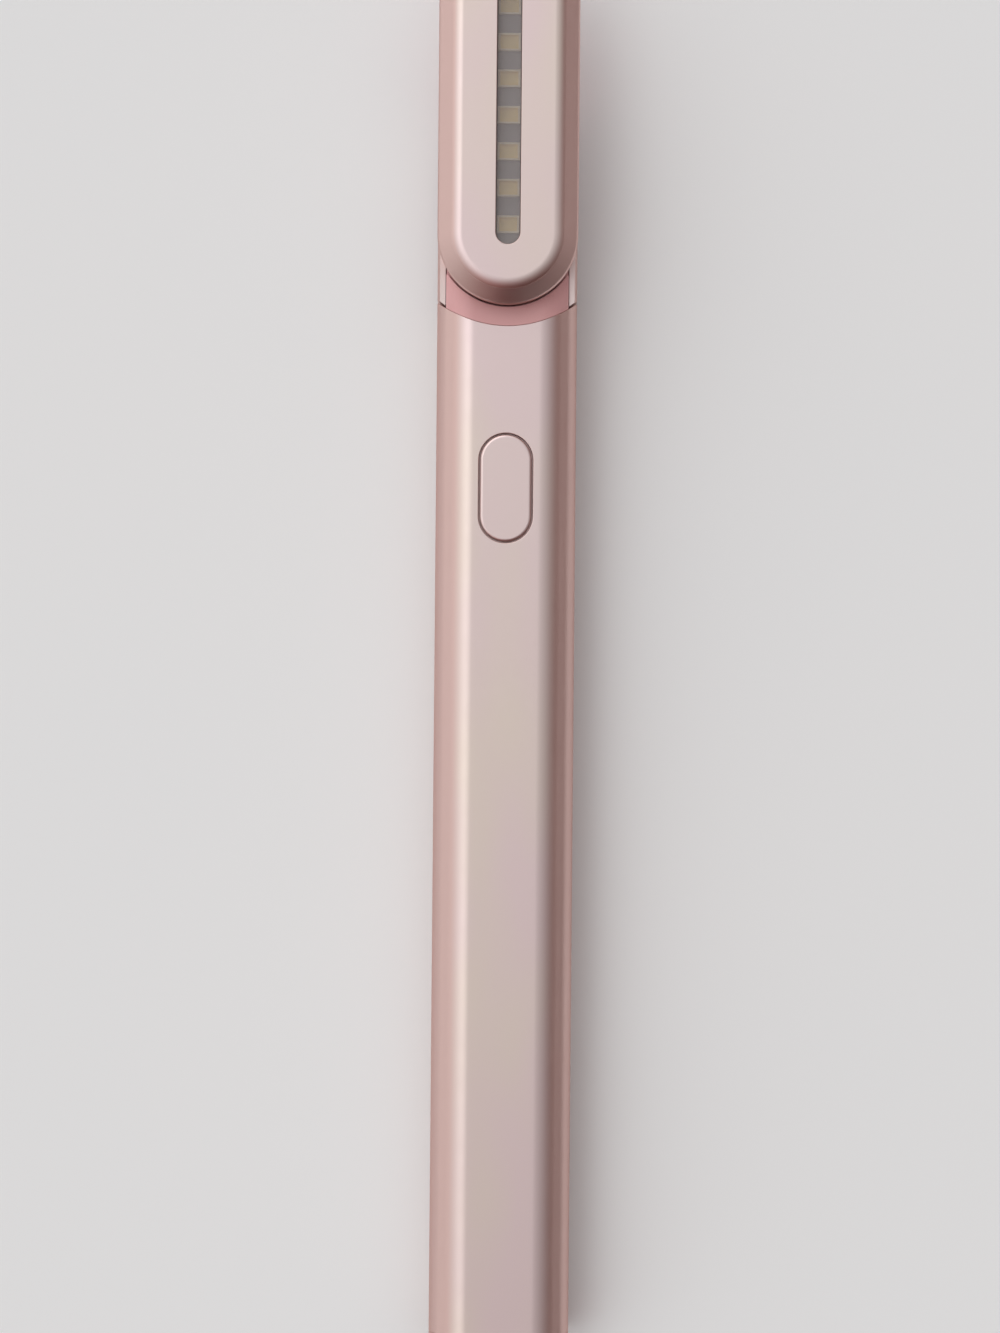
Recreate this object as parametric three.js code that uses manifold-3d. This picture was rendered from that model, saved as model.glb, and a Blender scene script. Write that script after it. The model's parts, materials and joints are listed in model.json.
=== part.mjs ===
// A skincare wand: an eight-sided metal handle with a stepped neck, and a light head that tilts on the neck.
// Millimetres. X is across the wand, +Y runs from the butt to the head, +Z points out of the lit face.
// The wand lies on the flat back of its handle, with the origin under the middle of its length.
import * as THREE from 'three';
import { mergeVertices } from 'three/addons/utils/BufferGeometryUtils.js';
import Module from 'manifold-3d';

const wasm = await Module();
wasm.setup();

// Driving dimensions of the whole wand
const wandLength = 171;
const handleWidth = 17;
const handleThickness = 12.8;
const headLength = 45.6;
const hingeHeight = 6.5;
const neckRadius = 3.5;
const headBackGap = 0.3;

// Outer section of the handle: flats above and below, upright sides, and four sloping facets
const flatWidth = 10.9;
const facetDrop = 2.7;
const ridgeRadius = 4;
const sideRadius = 3.5;
const handleWall = 0.95;

// The front end of the handle, cut to an arc round the head's end
const frontSetback = 2.35;
const frontArcRadius = 13.6;
const frontSeam = 0.3;
const bridgePlugLength = 6;

// Clearances that several pieces share
const slideFit = 0.15;
const pinFit = 0.2;
const cutOverrun = 1;

// Counts of sides and of steps round each bend
const roundSides = 20;
const smallSides = 12;
const wireSides = 8;
const bendSteps = 5;
const stadiumSteps = 18;

// Finishes
const finish = (color, roughness, metalness) =>
  new THREE.MeshStandardMaterial({ color, roughness, metalness });
const roseMetal = finish('#cdb4ae', 0.42, 0.85);
const brightMetal = finish('#e0c4b8', 0.3, 0.9);
const pinkPlastic = finish('#c08a8c', 0.5, 0);
const smokedPlastic = finish('#8d8488', 0.3, 0);
const lampPlastic = finish('#d9c48c', 0.5, 0);
const paleMetal = finish('#c9c9cc', 0.3, 1);
const copperMetal = finish('#b06a3b', 0.4, 1);
const boardGreen = finish('#2f6b48', 0.6, 0);
const boardWhite = finish('#e4e2dc', 0.5, 0);
const darkPlastic = finish('#26262a', 0.6, 0);
const palePlastic = finish('#d8d4cd', 0.6, 0);
const softRubber = finish('#4a4648', 0.9, 0);
const cellWrap = finish('#3c6fa8', 0.5, 0);
const wireRed = finish('#b23a32', 0.6, 0);
const wireBlack = finish('#2b2b2b', 0.6, 0);
const wireYellow = finish('#d1b13a', 0.6, 0);

// The run of each sloping facet, in plan
const facetRun = (handleWidth - flatWidth) / 2;

// A closed three.js geometry as a solid that can be joined and cut
function solid(geometry) {
  geometry.deleteAttribute('normal');
  geometry.deleteAttribute('uv');
  const merged = mergeVertices(geometry);
  return new wasm.Manifold(
    new wasm.Mesh({
      numProp: 3,
      vertProperties: merged.attributes.position.array,
      triVerts: new Uint32Array(merged.index.array),
    }),
  );
}

// A solid as a named mesh
function piece(name, body, material) {
  const made = body.getMesh();
  const geometry = new THREE.BufferGeometry();
  geometry.setAttribute('position', new THREE.BufferAttribute(made.vertProperties, made.numProp));
  geometry.setIndex(new THREE.BufferAttribute(made.triVerts, 1));
  geometry.computeVertexNormals();
  const mesh = new THREE.Mesh(geometry, material);
  mesh.name = name;
  return mesh;
}

function groupOf(...members) {
  const group = new THREE.Group();
  group.add(...members);
  return group;
}

const middle = (span) => (span[0] + span[1]) / 2;
const around = (centre, half) => [centre - half, centre + half];
const beyond = (span) => [span[0] - cutOverrun, span[1] + cutOverrun];
const inOrder = (one, other) => (one < other ? [one, other] : [other, one]);

// A block between low and high values on each axis
function block(x, y, z) {
  const geometry = new THREE.BoxGeometry(x[1] - x[0], y[1] - y[0], z[1] - z[0]);
  return solid(geometry.translate(middle(x), middle(y), middle(z)));
}

// A round rod along one axis, between two values on that axis
function rod(axis, radius, span, at = {}, sides = roundSides) {
  const geometry = new THREE.CylinderGeometry(radius, radius, span[1] - span[0], sides);
  if (axis === 'x') geometry.rotateZ(-Math.PI / 2);
  if (axis === 'z') geometry.rotateX(Math.PI / 2);
  const place = { x: 0, y: 0, z: 0, ...at, [axis]: middle(span) };
  return solid(geometry.translate(place.x, place.y, place.z));
}

// A solid whose level outlines are stadiums, from pairs of end radius and height, lowest first
function stadiumLoft(profile, halfStraight) {
  const points = [];
  for (const [radius, height] of profile)
    for (const end of [1, -1])
      for (let step = 0; step <= stadiumSteps; step++) {
        const angle = (Math.PI * step) / stadiumSteps;
        points.push(end * radius * Math.cos(angle), end * (halfStraight + radius * Math.sin(angle)), height);
      }
  const count = 2 * (stadiumSteps + 1);
  const faces = [];
  for (let level = 0; level + 1 < profile.length; level++)
    for (let i = 0; i < count; i++) {
      const next = (i + 1) % count;
      const low = level * count;
      faces.push(low + i, low + next, low + count + next, low + i, low + count + next, low + count + i);
    }
  const top = (profile.length - 1) * count;
  for (let i = 1; i + 1 < count; i++) faces.push(0, i + 1, i, top, top + i, top + i + 1);
  const geometry = new THREE.BufferGeometry();
  geometry.setAttribute('position', new THREE.Float32BufferAttribute(points, 3));
  geometry.setIndex(faces);
  return solid(geometry);
}

const stadium = (radius, halfStraight, z) =>
  stadiumLoft([[radius, z[0]], [radius, z[1]]], halfStraight);

// Points round a convex outline whose corners are x, y and fillet radius, taken anticlockwise
function filleted(corners) {
  const points = [];
  corners.forEach(([x, y, radius], i) => {
    const corner = new THREE.Vector2(x, y);
    const [backX, backY] = corners[(i + corners.length - 1) % corners.length];
    const [nextX, nextY] = corners[(i + 1) % corners.length];
    const arriving = corner.clone().sub(new THREE.Vector2(backX, backY)).normalize();
    const leaving = new THREE.Vector2(nextX, nextY).sub(corner).normalize();
    const turn = Math.acos(arriving.dot(leaving));
    const reach = radius * Math.tan(turn / 2);
    const inward = new THREE.Vector2(-arriving.y, arriving.x);
    const centre = corner.clone().addScaledVector(arriving, -reach).addScaledVector(inward, radius);
    const start = Math.atan2(-inward.y, -inward.x);
    for (let step = 0; step <= bendSteps; step++) {
      const angle = start + (turn * step) / bendSteps;
      const spoke = new THREE.Vector2(Math.cos(angle), Math.sin(angle)).multiplyScalar(radius);
      points.push(centre.clone().add(spoke));
    }
  });
  return points;
}

// The handle's outer section, moved inwards by an inset, as a bar between two Y values
function handleBar(inset, y) {
  const slope = Math.hypot(facetRun, facetDrop);
  const towardsSide = facetDrop / slope;
  const towardsTop = facetRun / slope;
  const halfWidth = handleWidth / 2 - inset;
  const halfHeight = handleThickness / 2 - inset;
  const reach = (towardsSide * flatWidth) / 2 + (towardsTop * handleThickness) / 2 - inset;
  const flatX = flatHalf(inset);
  const sideZ = (reach - towardsSide * halfWidth) / towardsTop;
  const ridge = Math.max(ridgeRadius - inset, ridgeRadius / 8);
  const side = Math.max(sideRadius - inset, sideRadius / 8);
  const outline = filleted([
    [halfWidth, -sideZ, side],
    [halfWidth, sideZ, side],
    [flatX, halfHeight, ridge],
    [-flatX, halfHeight, ridge],
    [-halfWidth, sideZ, side],
    [-halfWidth, -sideZ, side],
    [-flatX, -halfHeight, ridge],
    [flatX, -halfHeight, ridge],
  ]);
  const options = { depth: y[1] - y[0], bevelEnabled: false };
  const geometry = new THREE.ExtrudeGeometry(new THREE.Shape(outline), options);
  return solid(geometry.rotateX(Math.PI / 2).translate(0, y[1], handleThickness / 2));
}

// An insulated wire through hand-set points
function wire(radius, points) {
  const path = new THREE.CatmullRomCurve3(points.map((point) => new THREE.Vector3(...point)));
  const section = [];
  for (let i = 0; i < wireSides; i++) {
    const angle = (2 * Math.PI * i) / wireSides;
    section.push(new THREE.Vector2(radius * Math.cos(angle), radius * Math.sin(angle)));
  }
  const options = { steps: 4 * points.length, extrudePath: path };
  return solid(new THREE.ExtrudeGeometry(new THREE.Shape(section), options));
}

// A cheese-head screw along +Z with its head's underside at the origin, and a straight driver slot
function screw(headRadius, headHeight, shankRadius, shankLength) {
  const slotWidth = headRadius / 4;
  const slotDepth = headHeight / 2;
  const head = rod('z', headRadius, [0, headHeight], {}, smallSides);
  const shank = rod('z', shankRadius, [-shankLength, headHeight / 2], {}, smallSides);
  const slot = block(
    around(0, headRadius + cutOverrun),
    around(0, slotWidth / 2),
    [headHeight - slotDepth, headHeight + cutOverrun],
  );
  return head.add(shank).subtract(slot);
}

// Half the width of the section's flats, moved inwards by an inset
function flatHalf(inset) {
  const slope = Math.hypot(facetRun, facetDrop);
  return flatWidth / 2 - (inset * (slope - facetRun)) / facetDrop;
}

// Places along the wand
const buttY = -wandLength / 2;
const headTipY = wandLength / 2;
const headEndY = headTipY - headLength;
const hingeY = headTipY - headLength / 2;
const frontY = headEndY - frontSetback;
const frontArcY = frontY + frontArcRadius;
const handleFloor = handleWall;
const handleCeiling = handleThickness - handleWall;
const wholeHeight = [-cutOverrun, handleThickness + cutOverrun];

// The upright round cut of the handle's front, or of what stands in front of it
const frontRound = (shrink) =>
  rod('z', frontArcRadius - shrink, wholeHeight, { y: frontArcY }, 4 * roundSides);

// Power button
const buttonSetback = 19.6;
const buttonRadius = 3.1;
const buttonHalfStraight = 3.35;
const buttonSeam = 0.25;
const buttonProud = 0.1;
const buttonCrownRun = 0.4;
const buttonCrownDrop = 0.22;
const buttonTravel = 0.4;
const buttonLip = 0.8;
const buttonLipThickness = 0.8;
const buttonLipGap = 0.1;
const buttonY = frontY - buttonSetback;
const buttonHoleRadius = buttonRadius + buttonSeam;
const gasketThickness = 0.5;
const lipTopZ = handleCeiling - gasketThickness - buttonLipGap;
const lipBottomZ = lipTopZ - buttonLipThickness;

// End cap, charging socket and its board
const capFlange = 1;
const capPlug = 4;
const socketRadius = 1.63;
const socketHalfStraight = 2.84;
const socketWall = 0.3;
const socketLength = 7.3;
const socketRecess = 0.3;
const socketFit = 0.12;
const socketFloor = 1;
const tongueHalfWidth = 3.35;
const tongueThickness = 0.7;
const tongueRecess = 0.7;
const chargeBoardSideGap = 2.75;
const chargeBoardLength = 15;
const boardThickness = 1;
const socketZ = handleThickness / 2;
const capInnerY = buttY + capFlange;
const chargeBoardHalfWidth = handleWidth / 2 - handleWall - chargeBoardSideGap;
const socketBayHalfWidth = Math.max(chargeBoardHalfWidth, socketRadius + socketHalfStraight) + pinFit;
const plugEndY = capInnerY + capPlug;
const socketY = [buttY + socketRecess, buttY + socketRecess + socketLength];
const chargeBoardTop = socketZ - socketRadius;
const chargeBoardBottom = chargeBoardTop - boardThickness;
const chargeBoardY = [capInnerY + slideFit, capInnerY + slideFit + chargeBoardLength];

// Screws of the end cap, midway between the socket and the inside of the tube
const capScrewHead = 0.95;
const capScrewHeadHeight = 0.5;
const capScrewShank = 0.5;
const capScrewLength = 5.6;
const capScrewRise = (handleThickness / 2 - handleWall + socketRadius) / 2;

// Tray that carries the cell, the motor and the boards
const trayFit = 0.25;
const trayFloorThickness = 0.8;
const railThickness = 0.9;
const bulkheadThickness = 2;
const bulkheadGap = 0.2;
const trayHalfWidth = flatHalf(handleWall) - slideFit;
const trayY0 = plugEndY + bulkheadGap;
const trayBottom = handleFloor + trayFit;
const trayTop = trayBottom + trayFloorThickness;
const bulkheadY = [trayY0, trayY0 + bulkheadThickness];

// Cell
const cellSideRoom = 2.55;
const cellHeadRoom = 0.9;
const cellEndRoom = 3.85;
const cellNubRadius = 1.9;
const cellNubLength = 0.8;
const cellFit = 0.15;
const tabThickness = 0.3;
const tabHalfWidth = 2.8;
const tabHeight = 6;
const stopThickness = 0.8;
const stopRise = 0.85;

// Vibration motor
const motorRadius = 3;
const motorLength = 12;
const motorGap = 1.5;
const motorFit = 0.1;
const cradleFloor = 0.4;
const cradleLength = 9;
const shaftRadius = 0.4;
const shaftInside = 2;
const shaftOutside = 6;
const weightRadius = 2.3;
const weightLength = 4.4;
const weightFit = 0.1;

// Main board, switch and what stands on the board
const mainBoardLength = 30.4;
const mainBoardDepth = 6;
const mainBoardSideGap = 1.95;
const boardEndGap = 1;
const postRadius = 1.2;
const postX = 3.3;
const postInset = 2.1;
const boardScrewHead = 1;
const boardScrewHeadHeight = 0.5;
const boardScrewShank = 0.45;
const boardScrewLength = 3;
const switchHalfWidth = 2.25;
const switchHeight = 1.8;
const plungerRadius = 0.8;
const plungerBoreDepth = 1;
const plungerGap = 0.05;
const plungerStand = 1;
const capNubRadius = 1.3;
const chipHalfWidth = 1.9;
const chipHeight = 0.9;
const coilRadius = 1.6;
const coilHeight = 2.2;
const contactRadius = 0.6;
const guideWall = 0.6;
const gasketEdge = 0.4;
const gasketFit = 0.05;
const guideHeadRoom = 1.2;
const mainBoardTop = handleThickness - mainBoardDepth;
const mainBoardBottom = mainBoardTop - boardThickness;
const mainBoardHalfWidth = handleWidth / 2 - handleWall - mainBoardSideGap;
const mainBoardEnd = frontY - bridgePlugLength - boardEndGap;
const mainBoardY = [mainBoardEnd - mainBoardLength, mainBoardEnd];
const guideInner = buttonRadius + buttonLip + buttonSeam;
const guideOuter = guideInner + guideWall;

// The motor lies behind the main board, and the cell fills the room from there to the charging board.
// The cell is as thick as the tube's width and height both allow.
const motorZ = trayTop + motorRadius + motorFit + cradleFloor;
const motorY1 = mainBoardY[0] - motorGap - shaftOutside;
const motorY0 = motorY1 - motorLength;
const cellFrontY = motorY0 - motorGap - stopThickness - tabThickness;
const cellRearY = chargeBoardY[1] + cellEndRoom;
const cellRadius = Math.min(
  handleWidth / 2 - handleWall - cellSideRoom,
  (handleCeiling - trayTop - cellFit - cellHeadRoom) / 2,
);
const cellZ = trayTop + cellRadius + cellFit;
const wireRadius = 0.5;
const wireWallGap = 0.55;
const sideWireX = handleWidth / 2 - handleWall - wireWallGap - wireRadius;

// Neck: a moulded bridge between two metal side plates
const sidePlateThickness = 0.87;
const sidePlateSeam = 0.2;
const bridgeStep = 0.1;
const browReach = 5.6;
const forkGap = 0.4;
const leadRadius = 0.6;
const leadChannelRadius = 1;
const leadOffset = 0.8;
const knuckleHalfWidth = 3.4;
const washerThickness = 0.4;
const washerGap = 0.1;
const washerInset = 0.7;
const hingePinRadius = 1.15;
const bushWall = 0.75;
const bushEndGap = 0.2;
const hingePinRecess = 0.6;
const neckScrewSetback = 13.4;
const neckScrewRise = 1.6;
const neckScrewHead = 1.05;
const neckScrewHeadHeight = 0.5;
const neckScrewShank = 0.5;
const neckScrewLength = 3;
const neckScrewRecess = 0.1;
const plateInnerX = handleWidth / 2 - sidePlateThickness;
const bridgeHalfWidth = plateInnerX - sidePlateSeam;
const bridgeHalfHeight = neckRadius - bridgeStep;
const tineInnerX = knuckleHalfWidth + 2 * washerGap + washerThickness;
const pinBore = hingePinRadius + pinFit;
const bushRadius = pinBore + bushWall;
const washerRadius = neckRadius - washerInset;
const plugY0 = frontY - bridgePlugLength;
const neckScrewY = hingeY - neckScrewSetback;
const neckScrewZ = hingeHeight + neckScrewRise;

// Head, measured from the hinge axis under its middle
const headWall = 0.9;
const headEdge = 0.5;
const shellHeight = 6.3;
const shoulderRun = 1.75;
const shoulderDrop = 1.6;
const shoulderFillet = 1.3;
const seatLedge = 0.4;
const coverThickness = 1.2;
const coverFit = 0.1;
const sealThickness = 0.2;
const plateRise = 0.95;
const plateCrownRun = 1.3;
const plateCrownDrop = 0.45;
const plateFillet = 0.15;
const spigotDepth = 1;
const spigotFit = 0.15;
const lensSlotRadius = 1.48;
const lensFit = 0.05;
const lensRecess = 0.6;
const lensFlangeRadius = 2.5;
const lensPocketFit = 0.1;
const lensPocketDepth = 0.8;
const headRadius = handleWidth / 2;
const headHalfStraight = headLength / 2 - headRadius;
const headBackZ = neckRadius + headBackGap;
const shellTopZ = headBackZ + shellHeight;
const shoulderZ = shellTopZ - shoulderDrop;
const coverTopZ = headBackZ + coverThickness;
const seatRadius = headRadius - shoulderRun - seatLedge;
const plateFootZ = shellTopZ + sealThickness;
const plateTopZ = plateFootZ + plateRise;
const spigotZ = plateFootZ - spigotDepth;
const spigotRadius = seatRadius - spigotFit;
const plateRadius = headRadius - shoulderRun;
const plateFlatRadius = plateRadius - plateCrownRun;
const plateCrownRadius = (plateCrownRun ** 2 + plateCrownDrop ** 2) / (2 * plateCrownDrop);

// Lamps and their board inside the head
const lampCount = 7;
const lampHalfWidth = 1.35;
const lampHalfLength = 1.05;
const lampHeight = 0.7;
const lampDish = 0.3;
const lampRim = 0.25;
const ledBoardThickness = 0.8;
const ledBoardSideGap = 3.2;
const ledBoardFit = 0.1;
const ledBoardEnd = 2.9;
const ledBoardDrop = 2.2;
const ledBoardTop = plateFootZ - ledBoardDrop;
const ledBoardBottom = ledBoardTop - ledBoardThickness;
const ledScrewEdge = 1.3;
const ledScrewInset = 1.4;
const ledScrewHead = 0.9;
const ledScrewHeadHeight = 0.4;
const ledScrewShank = 0.4;
const ledScrewLength = 1.9;
const ledPostRadius = 1.1;
const headScrewHead = 1.2;
const headScrewHeadHeight = 0.7;
const headScrewShank = 0.55;
const headScrewLength = 3.4;
const headBossRadius = 1.5;
const headBossHeight = 3.5;
const headBossGap = 0.1;
const headWebHalfWidth = 0.7;
const headBossInset = 3.2;
const headScrewRecess = 0.1;
const headBossY = headLength / 2 - headWall - headBossInset;
const knuckleInset = 0.2;
const knuckleCoreWall = 0.75;
const knuckleGroove = 1.3;
const headContactRadius = 0.45;
const ledBoardHalfWidth = headRadius - headWall - ledBoardSideGap;
const ledBoardHalfLength = headBossY - headBossRadius - ledBoardFit;
const lampPitch = (2 * (ledBoardHalfLength - ledBoardEnd - lampHalfLength)) / (lampCount - 1);
const ledScrewX = ledBoardHalfWidth - ledScrewEdge;
const knuckleRadius = neckRadius - knuckleInset;
const knuckleCore = pinBore + knuckleCoreWall;

function handleTube() {
  const y = [capInnerY, frontArcY];
  const outer = handleBar(0, y);
  const hollow = handleBar(handleWall, beyond(y));
  const aboveMiddle = [handleThickness / 2, handleThickness + cutOverrun];
  const buttonHole = stadium(buttonHoleRadius, buttonHalfStraight, aboveMiddle);
  const beyondArc = block(around(0, handleWidth), [frontArcY, frontArcY + cutOverrun], wholeHeight);
  const body = outer
    .subtract(hollow)
    .subtract(frontRound(0))
    .subtract(beyondArc)
    .subtract(buttonHole.translate([0, buttonY, 0]));
  return piece('handle_tube', body, roseMetal);
}

// The end cap's flange closes the tube, and its ring-shaped plug centres it
function endCap() {
  const flange = handleBar(0, [buttY, capInnerY]);
  const plug = handleBar(handleWall + slideFit, [capInnerY - capFlange / 2, plugEndY]);
  const bayZ = [chargeBoardBottom - pinFit, socketZ + socketRadius + pinFit];
  const bay = block(around(0, socketBayHalfWidth), [capInnerY, plugEndY + cutOverrun], bayZ);
  const port = stadium(socketRadius + socketFit, socketHalfStraight, around(0, capFlange + cutOverrun));
  let body = flange.add(plug).subtract(bay).subtract(standing(port, [0, buttY, socketZ]));
  for (const side of [-1, 1]) {
    const place = { z: socketZ + side * capScrewRise };
    const recessY = [buttY - cutOverrun, buttY + capScrewHeadHeight];
    body = body
      .subtract(rod('y', capScrewShank + pinFit, beyond([buttY, plugEndY]), place, smallSides))
      .subtract(rod('y', capScrewHead + slideFit, recessY, place, smallSides));
  }
  return piece('end_cap', body, roseMetal);
}

// Turns a stadium that lies flat so that its long side is across the wand and its axis runs along Y
function standing(body, place) {
  return body.rotate([0, 0, 90]).rotate([90, 0, 0]).translate(place);
}

function screwMesh(name, body, position, rotation) {
  const mesh = piece(name, body, paleMetal);
  mesh.position.set(...position);
  mesh.rotation.set(...rotation);
  return mesh;
}

function chargingSocket() {
  const shellZ = [-socketLength, 0];
  const shellOuter = stadium(socketRadius, socketHalfStraight, shellZ);
  const shellInner = stadium(socketRadius - socketWall, socketHalfStraight, beyond(shellZ));
  const shell = standing(shellOuter.subtract(shellInner), [0, socketY[0], socketZ]);
  const fillerRadius = socketRadius - socketWall - socketFit;
  const filler = stadium(fillerRadius, socketHalfStraight, [-socketLength, -socketLength + socketFloor]);
  const tongue = block(
    around(0, tongueHalfWidth),
    [socketY[0] + tongueRecess, socketY[1] - socketFloor / 2],
    around(socketZ, tongueThickness / 2),
  );
  const board = block(
    around(0, chargeBoardHalfWidth),
    chargeBoardY,
    [chargeBoardBottom, chargeBoardTop - socketFit / 2],
  );
  const screwBody = screw(capScrewHead, capScrewHeadHeight - socketFit, capScrewShank, capScrewLength);
  const screwY = buttY + capScrewHeadHeight;
  return groupOf(
    piece('usb_shell', shell, paleMetal),
    piece('usb_tongue', standing(filler, [0, socketY[0], socketZ]).add(tongue), darkPlastic),
    piece('charge_board', board, boardGreen),
    screwMesh('end_screw_lower', screwBody, [0, screwY, socketZ - capScrewRise], [Math.PI / 2, 0, 0]),
    screwMesh('end_screw_upper', screwBody, [0, screwY, socketZ + capScrewRise], [Math.PI / 2, 0, 0]),
  );
}

function chassisTray() {
  const floor = block(around(0, trayHalfWidth), [trayY0, mainBoardY[1]], [trayBottom, trayTop]);
  const endBar = handleBar(handleWall + trayFit, bulkheadY);
  const windowZ = [chargeBoardBottom - pinFit, socketZ + socketRadius + pinFit];
  const window = block(around(0, socketBayHalfWidth), beyond(bulkheadY), windowZ);
  let body = floor.add(endBar.subtract(window));
  const insideFloorZ = trayTop - trayFloorThickness / 2;
  const cellRoomY = [cellRearY - tabThickness, cellFrontY + tabThickness];
  const railY = [cellRoomY[0] - stopThickness, cellRoomY[1] + stopThickness];
  for (const side of [-1, 1]) {
    const screwPlace = { z: socketZ + side * capScrewRise };
    const screwHole = rod('y', capScrewShank + slideFit, beyond(bulkheadY), screwPlace, smallSides);
    const railX = inOrder(side * (trayHalfWidth - railThickness), side * trayHalfWidth);
    const rail = block(railX, railY, [insideFloorZ, cellZ - cellRadius / 2]);
    body = body.subtract(screwHole).add(rail);
  }
  body = body.subtract(rod('y', cellRadius + cellFit, cellRoomY, { z: cellZ }, 2 * roundSides));
  for (const stopY of [railY[0], railY[1] - stopThickness]) {
    const stopZ = [insideFloorZ, cellZ + stopRise];
    body = body.add(block(around(0, trayHalfWidth), [stopY, stopY + stopThickness], stopZ));
  }
  for (const post of boardPosts()) {
    const threadZ = [trayTop, mainBoardBottom + cutOverrun];
    body = body
      .add(rod('z', postRadius, [insideFloorZ, mainBoardBottom], post, smallSides))
      .subtract(rod('z', boardScrewShank + slideFit, threadZ, post, smallSides));
  }
  for (const side of [-1, 1]) {
    const post = { x: side * (trayHalfWidth - postRadius), y: chargeBoardY[1] - postRadius };
    body = body.add(rod('z', postRadius, [insideFloorZ, chargeBoardBottom], post, smallSides));
  }
  return piece('chassis_tray', body, palePlastic);
}

// The two posts that the main board is screwed to
function boardPosts() {
  return [
    { x: -postX, y: mainBoardY[0] + postInset },
    { x: postX, y: mainBoardY[1] - postInset },
  ];
}

function powerCell() {
  const rearWire = wire(wireRadius, [
    [-tabHalfWidth / 2, cellRearY - tabThickness - wireRadius, cellZ + tabHeight / 2],
    [wireRadius - sideWireX, cellRearY - tabThickness - wireRadius, cellZ + tabHeight / 4],
    [-sideWireX, cellRearY + cellRadius / 2, cellZ],
    [-sideWireX, middle([cellRearY, cellFrontY]), cellZ],
    [-sideWireX, cellFrontY, cellZ],
    [wireRadius - sideWireX, mainBoardY[0] - cellRadius, mainBoardTop + wireRadius],
    [3 * wireRadius - mainBoardHalfWidth, mainBoardY[0] + wireRadius / 2, mainBoardTop + 1.5 * wireRadius],
  ]);
  const frontWireX = tabHalfWidth / 2;
  const overMotorZ = middle([motorZ + motorRadius, handleCeiling]);
  const frontWire = wire(wireRadius, [
    [frontWireX, cellFrontY + tabThickness + wireRadius, cellZ + tabHeight / 2 + wireRadius / 4],
    [frontWireX, cellFrontY + tabThickness + 4 * wireRadius, overMotorZ],
    [frontWireX, middle([motorY0, motorY1]), overMotorZ],
    [frontWireX, motorY1, overMotorZ],
    [frontWireX, mainBoardY[0] + wireRadius / 2, mainBoardTop + 1.5 * wireRadius],
  ]);
  const chargeWire = wire(wireRadius, [
    [chargeBoardHalfWidth / 2, chargeBoardY[1] - 3 * wireRadius, chargeBoardTop + 1.5 * wireRadius],
    [sideWireX, chargeBoardY[1] + wireRadius, chargeBoardTop + 3 * wireRadius],
    [sideWireX, cellRearY + cellRadius / 2, cellZ],
    [sideWireX, middle([cellRearY, cellFrontY]), cellZ],
    [sideWireX, cellFrontY, cellZ],
    [sideWireX - wireRadius, mainBoardY[0] - cellRadius, mainBoardTop + wireRadius],
    [mainBoardHalfWidth - 3 * wireRadius, mainBoardY[0] + wireRadius / 2, mainBoardTop + 1.5 * wireRadius],
  ]);
  const can = rod('y', cellRadius, [cellRearY, cellFrontY - cellNubLength], { z: cellZ }, 2 * roundSides);
  const nub = rod('y', cellNubRadius, [cellFrontY - 2 * cellNubLength, cellFrontY], { z: cellZ });
  const tab = (y) => block(around(0, tabHalfWidth), y, around(cellZ, tabHeight / 2));
  return groupOf(
    piece('battery_cell', can.add(nub), cellWrap),
    piece('battery_tab_front', tab([cellFrontY, cellFrontY + tabThickness]), paleMetal),
    piece('battery_tab_rear', tab([cellRearY - tabThickness, cellRearY]), paleMetal),
    piece('battery_lead_positive', frontWire, wireRed),
    piece('battery_lead_negative', rearWire, wireBlack),
    piece('charge_lead', chargeWire, wireYellow),
  );
}

// The motor stands on the tray in a rubber cradle. Its shaft swings a half-round weight.
function vibrationMotor() {
  const axis = { z: motorZ };
  const shaftRoomY = [motorY1 - shaftInside - slideFit, motorY1 + cutOverrun];
  const can = rod('y', motorRadius, [motorY0, motorY1], axis).subtract(
    rod('y', shaftRadius + slideFit, shaftRoomY, axis, smallSides),
  );
  const cradleY = around(middle([motorY0, motorY1]), cradleLength / 2);
  const cradle = block(around(0, trayHalfWidth), cradleY, [trayTop, motorZ]).subtract(
    rod('y', motorRadius + motorFit, beyond(cradleY), axis),
  );
  const rotor = new THREE.Group();
  rotor.position.set(0, motorY1, motorZ);
  const shaft = rod('y', shaftRadius, [-shaftInside, shaftOutside], {}, smallSides);
  const weightY = [shaftOutside - weightLength, shaftOutside];
  const weight = rod('y', weightRadius, weightY)
    .subtract(block(around(0, 2 * weightRadius), beyond(weightY), [2 * shaftRadius, 2 * weightRadius]))
    .subtract(rod('y', shaftRadius + weightFit, beyond(weightY), {}, smallSides));
  rotor.add(piece('motor_shaft', shaft, paleMetal), piece('motor_weight', weight, paleMetal));
  return groupOf(piece('motor_can', can, paleMetal), piece('motor_cradle', cradle, softRubber), rotor);
}

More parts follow.
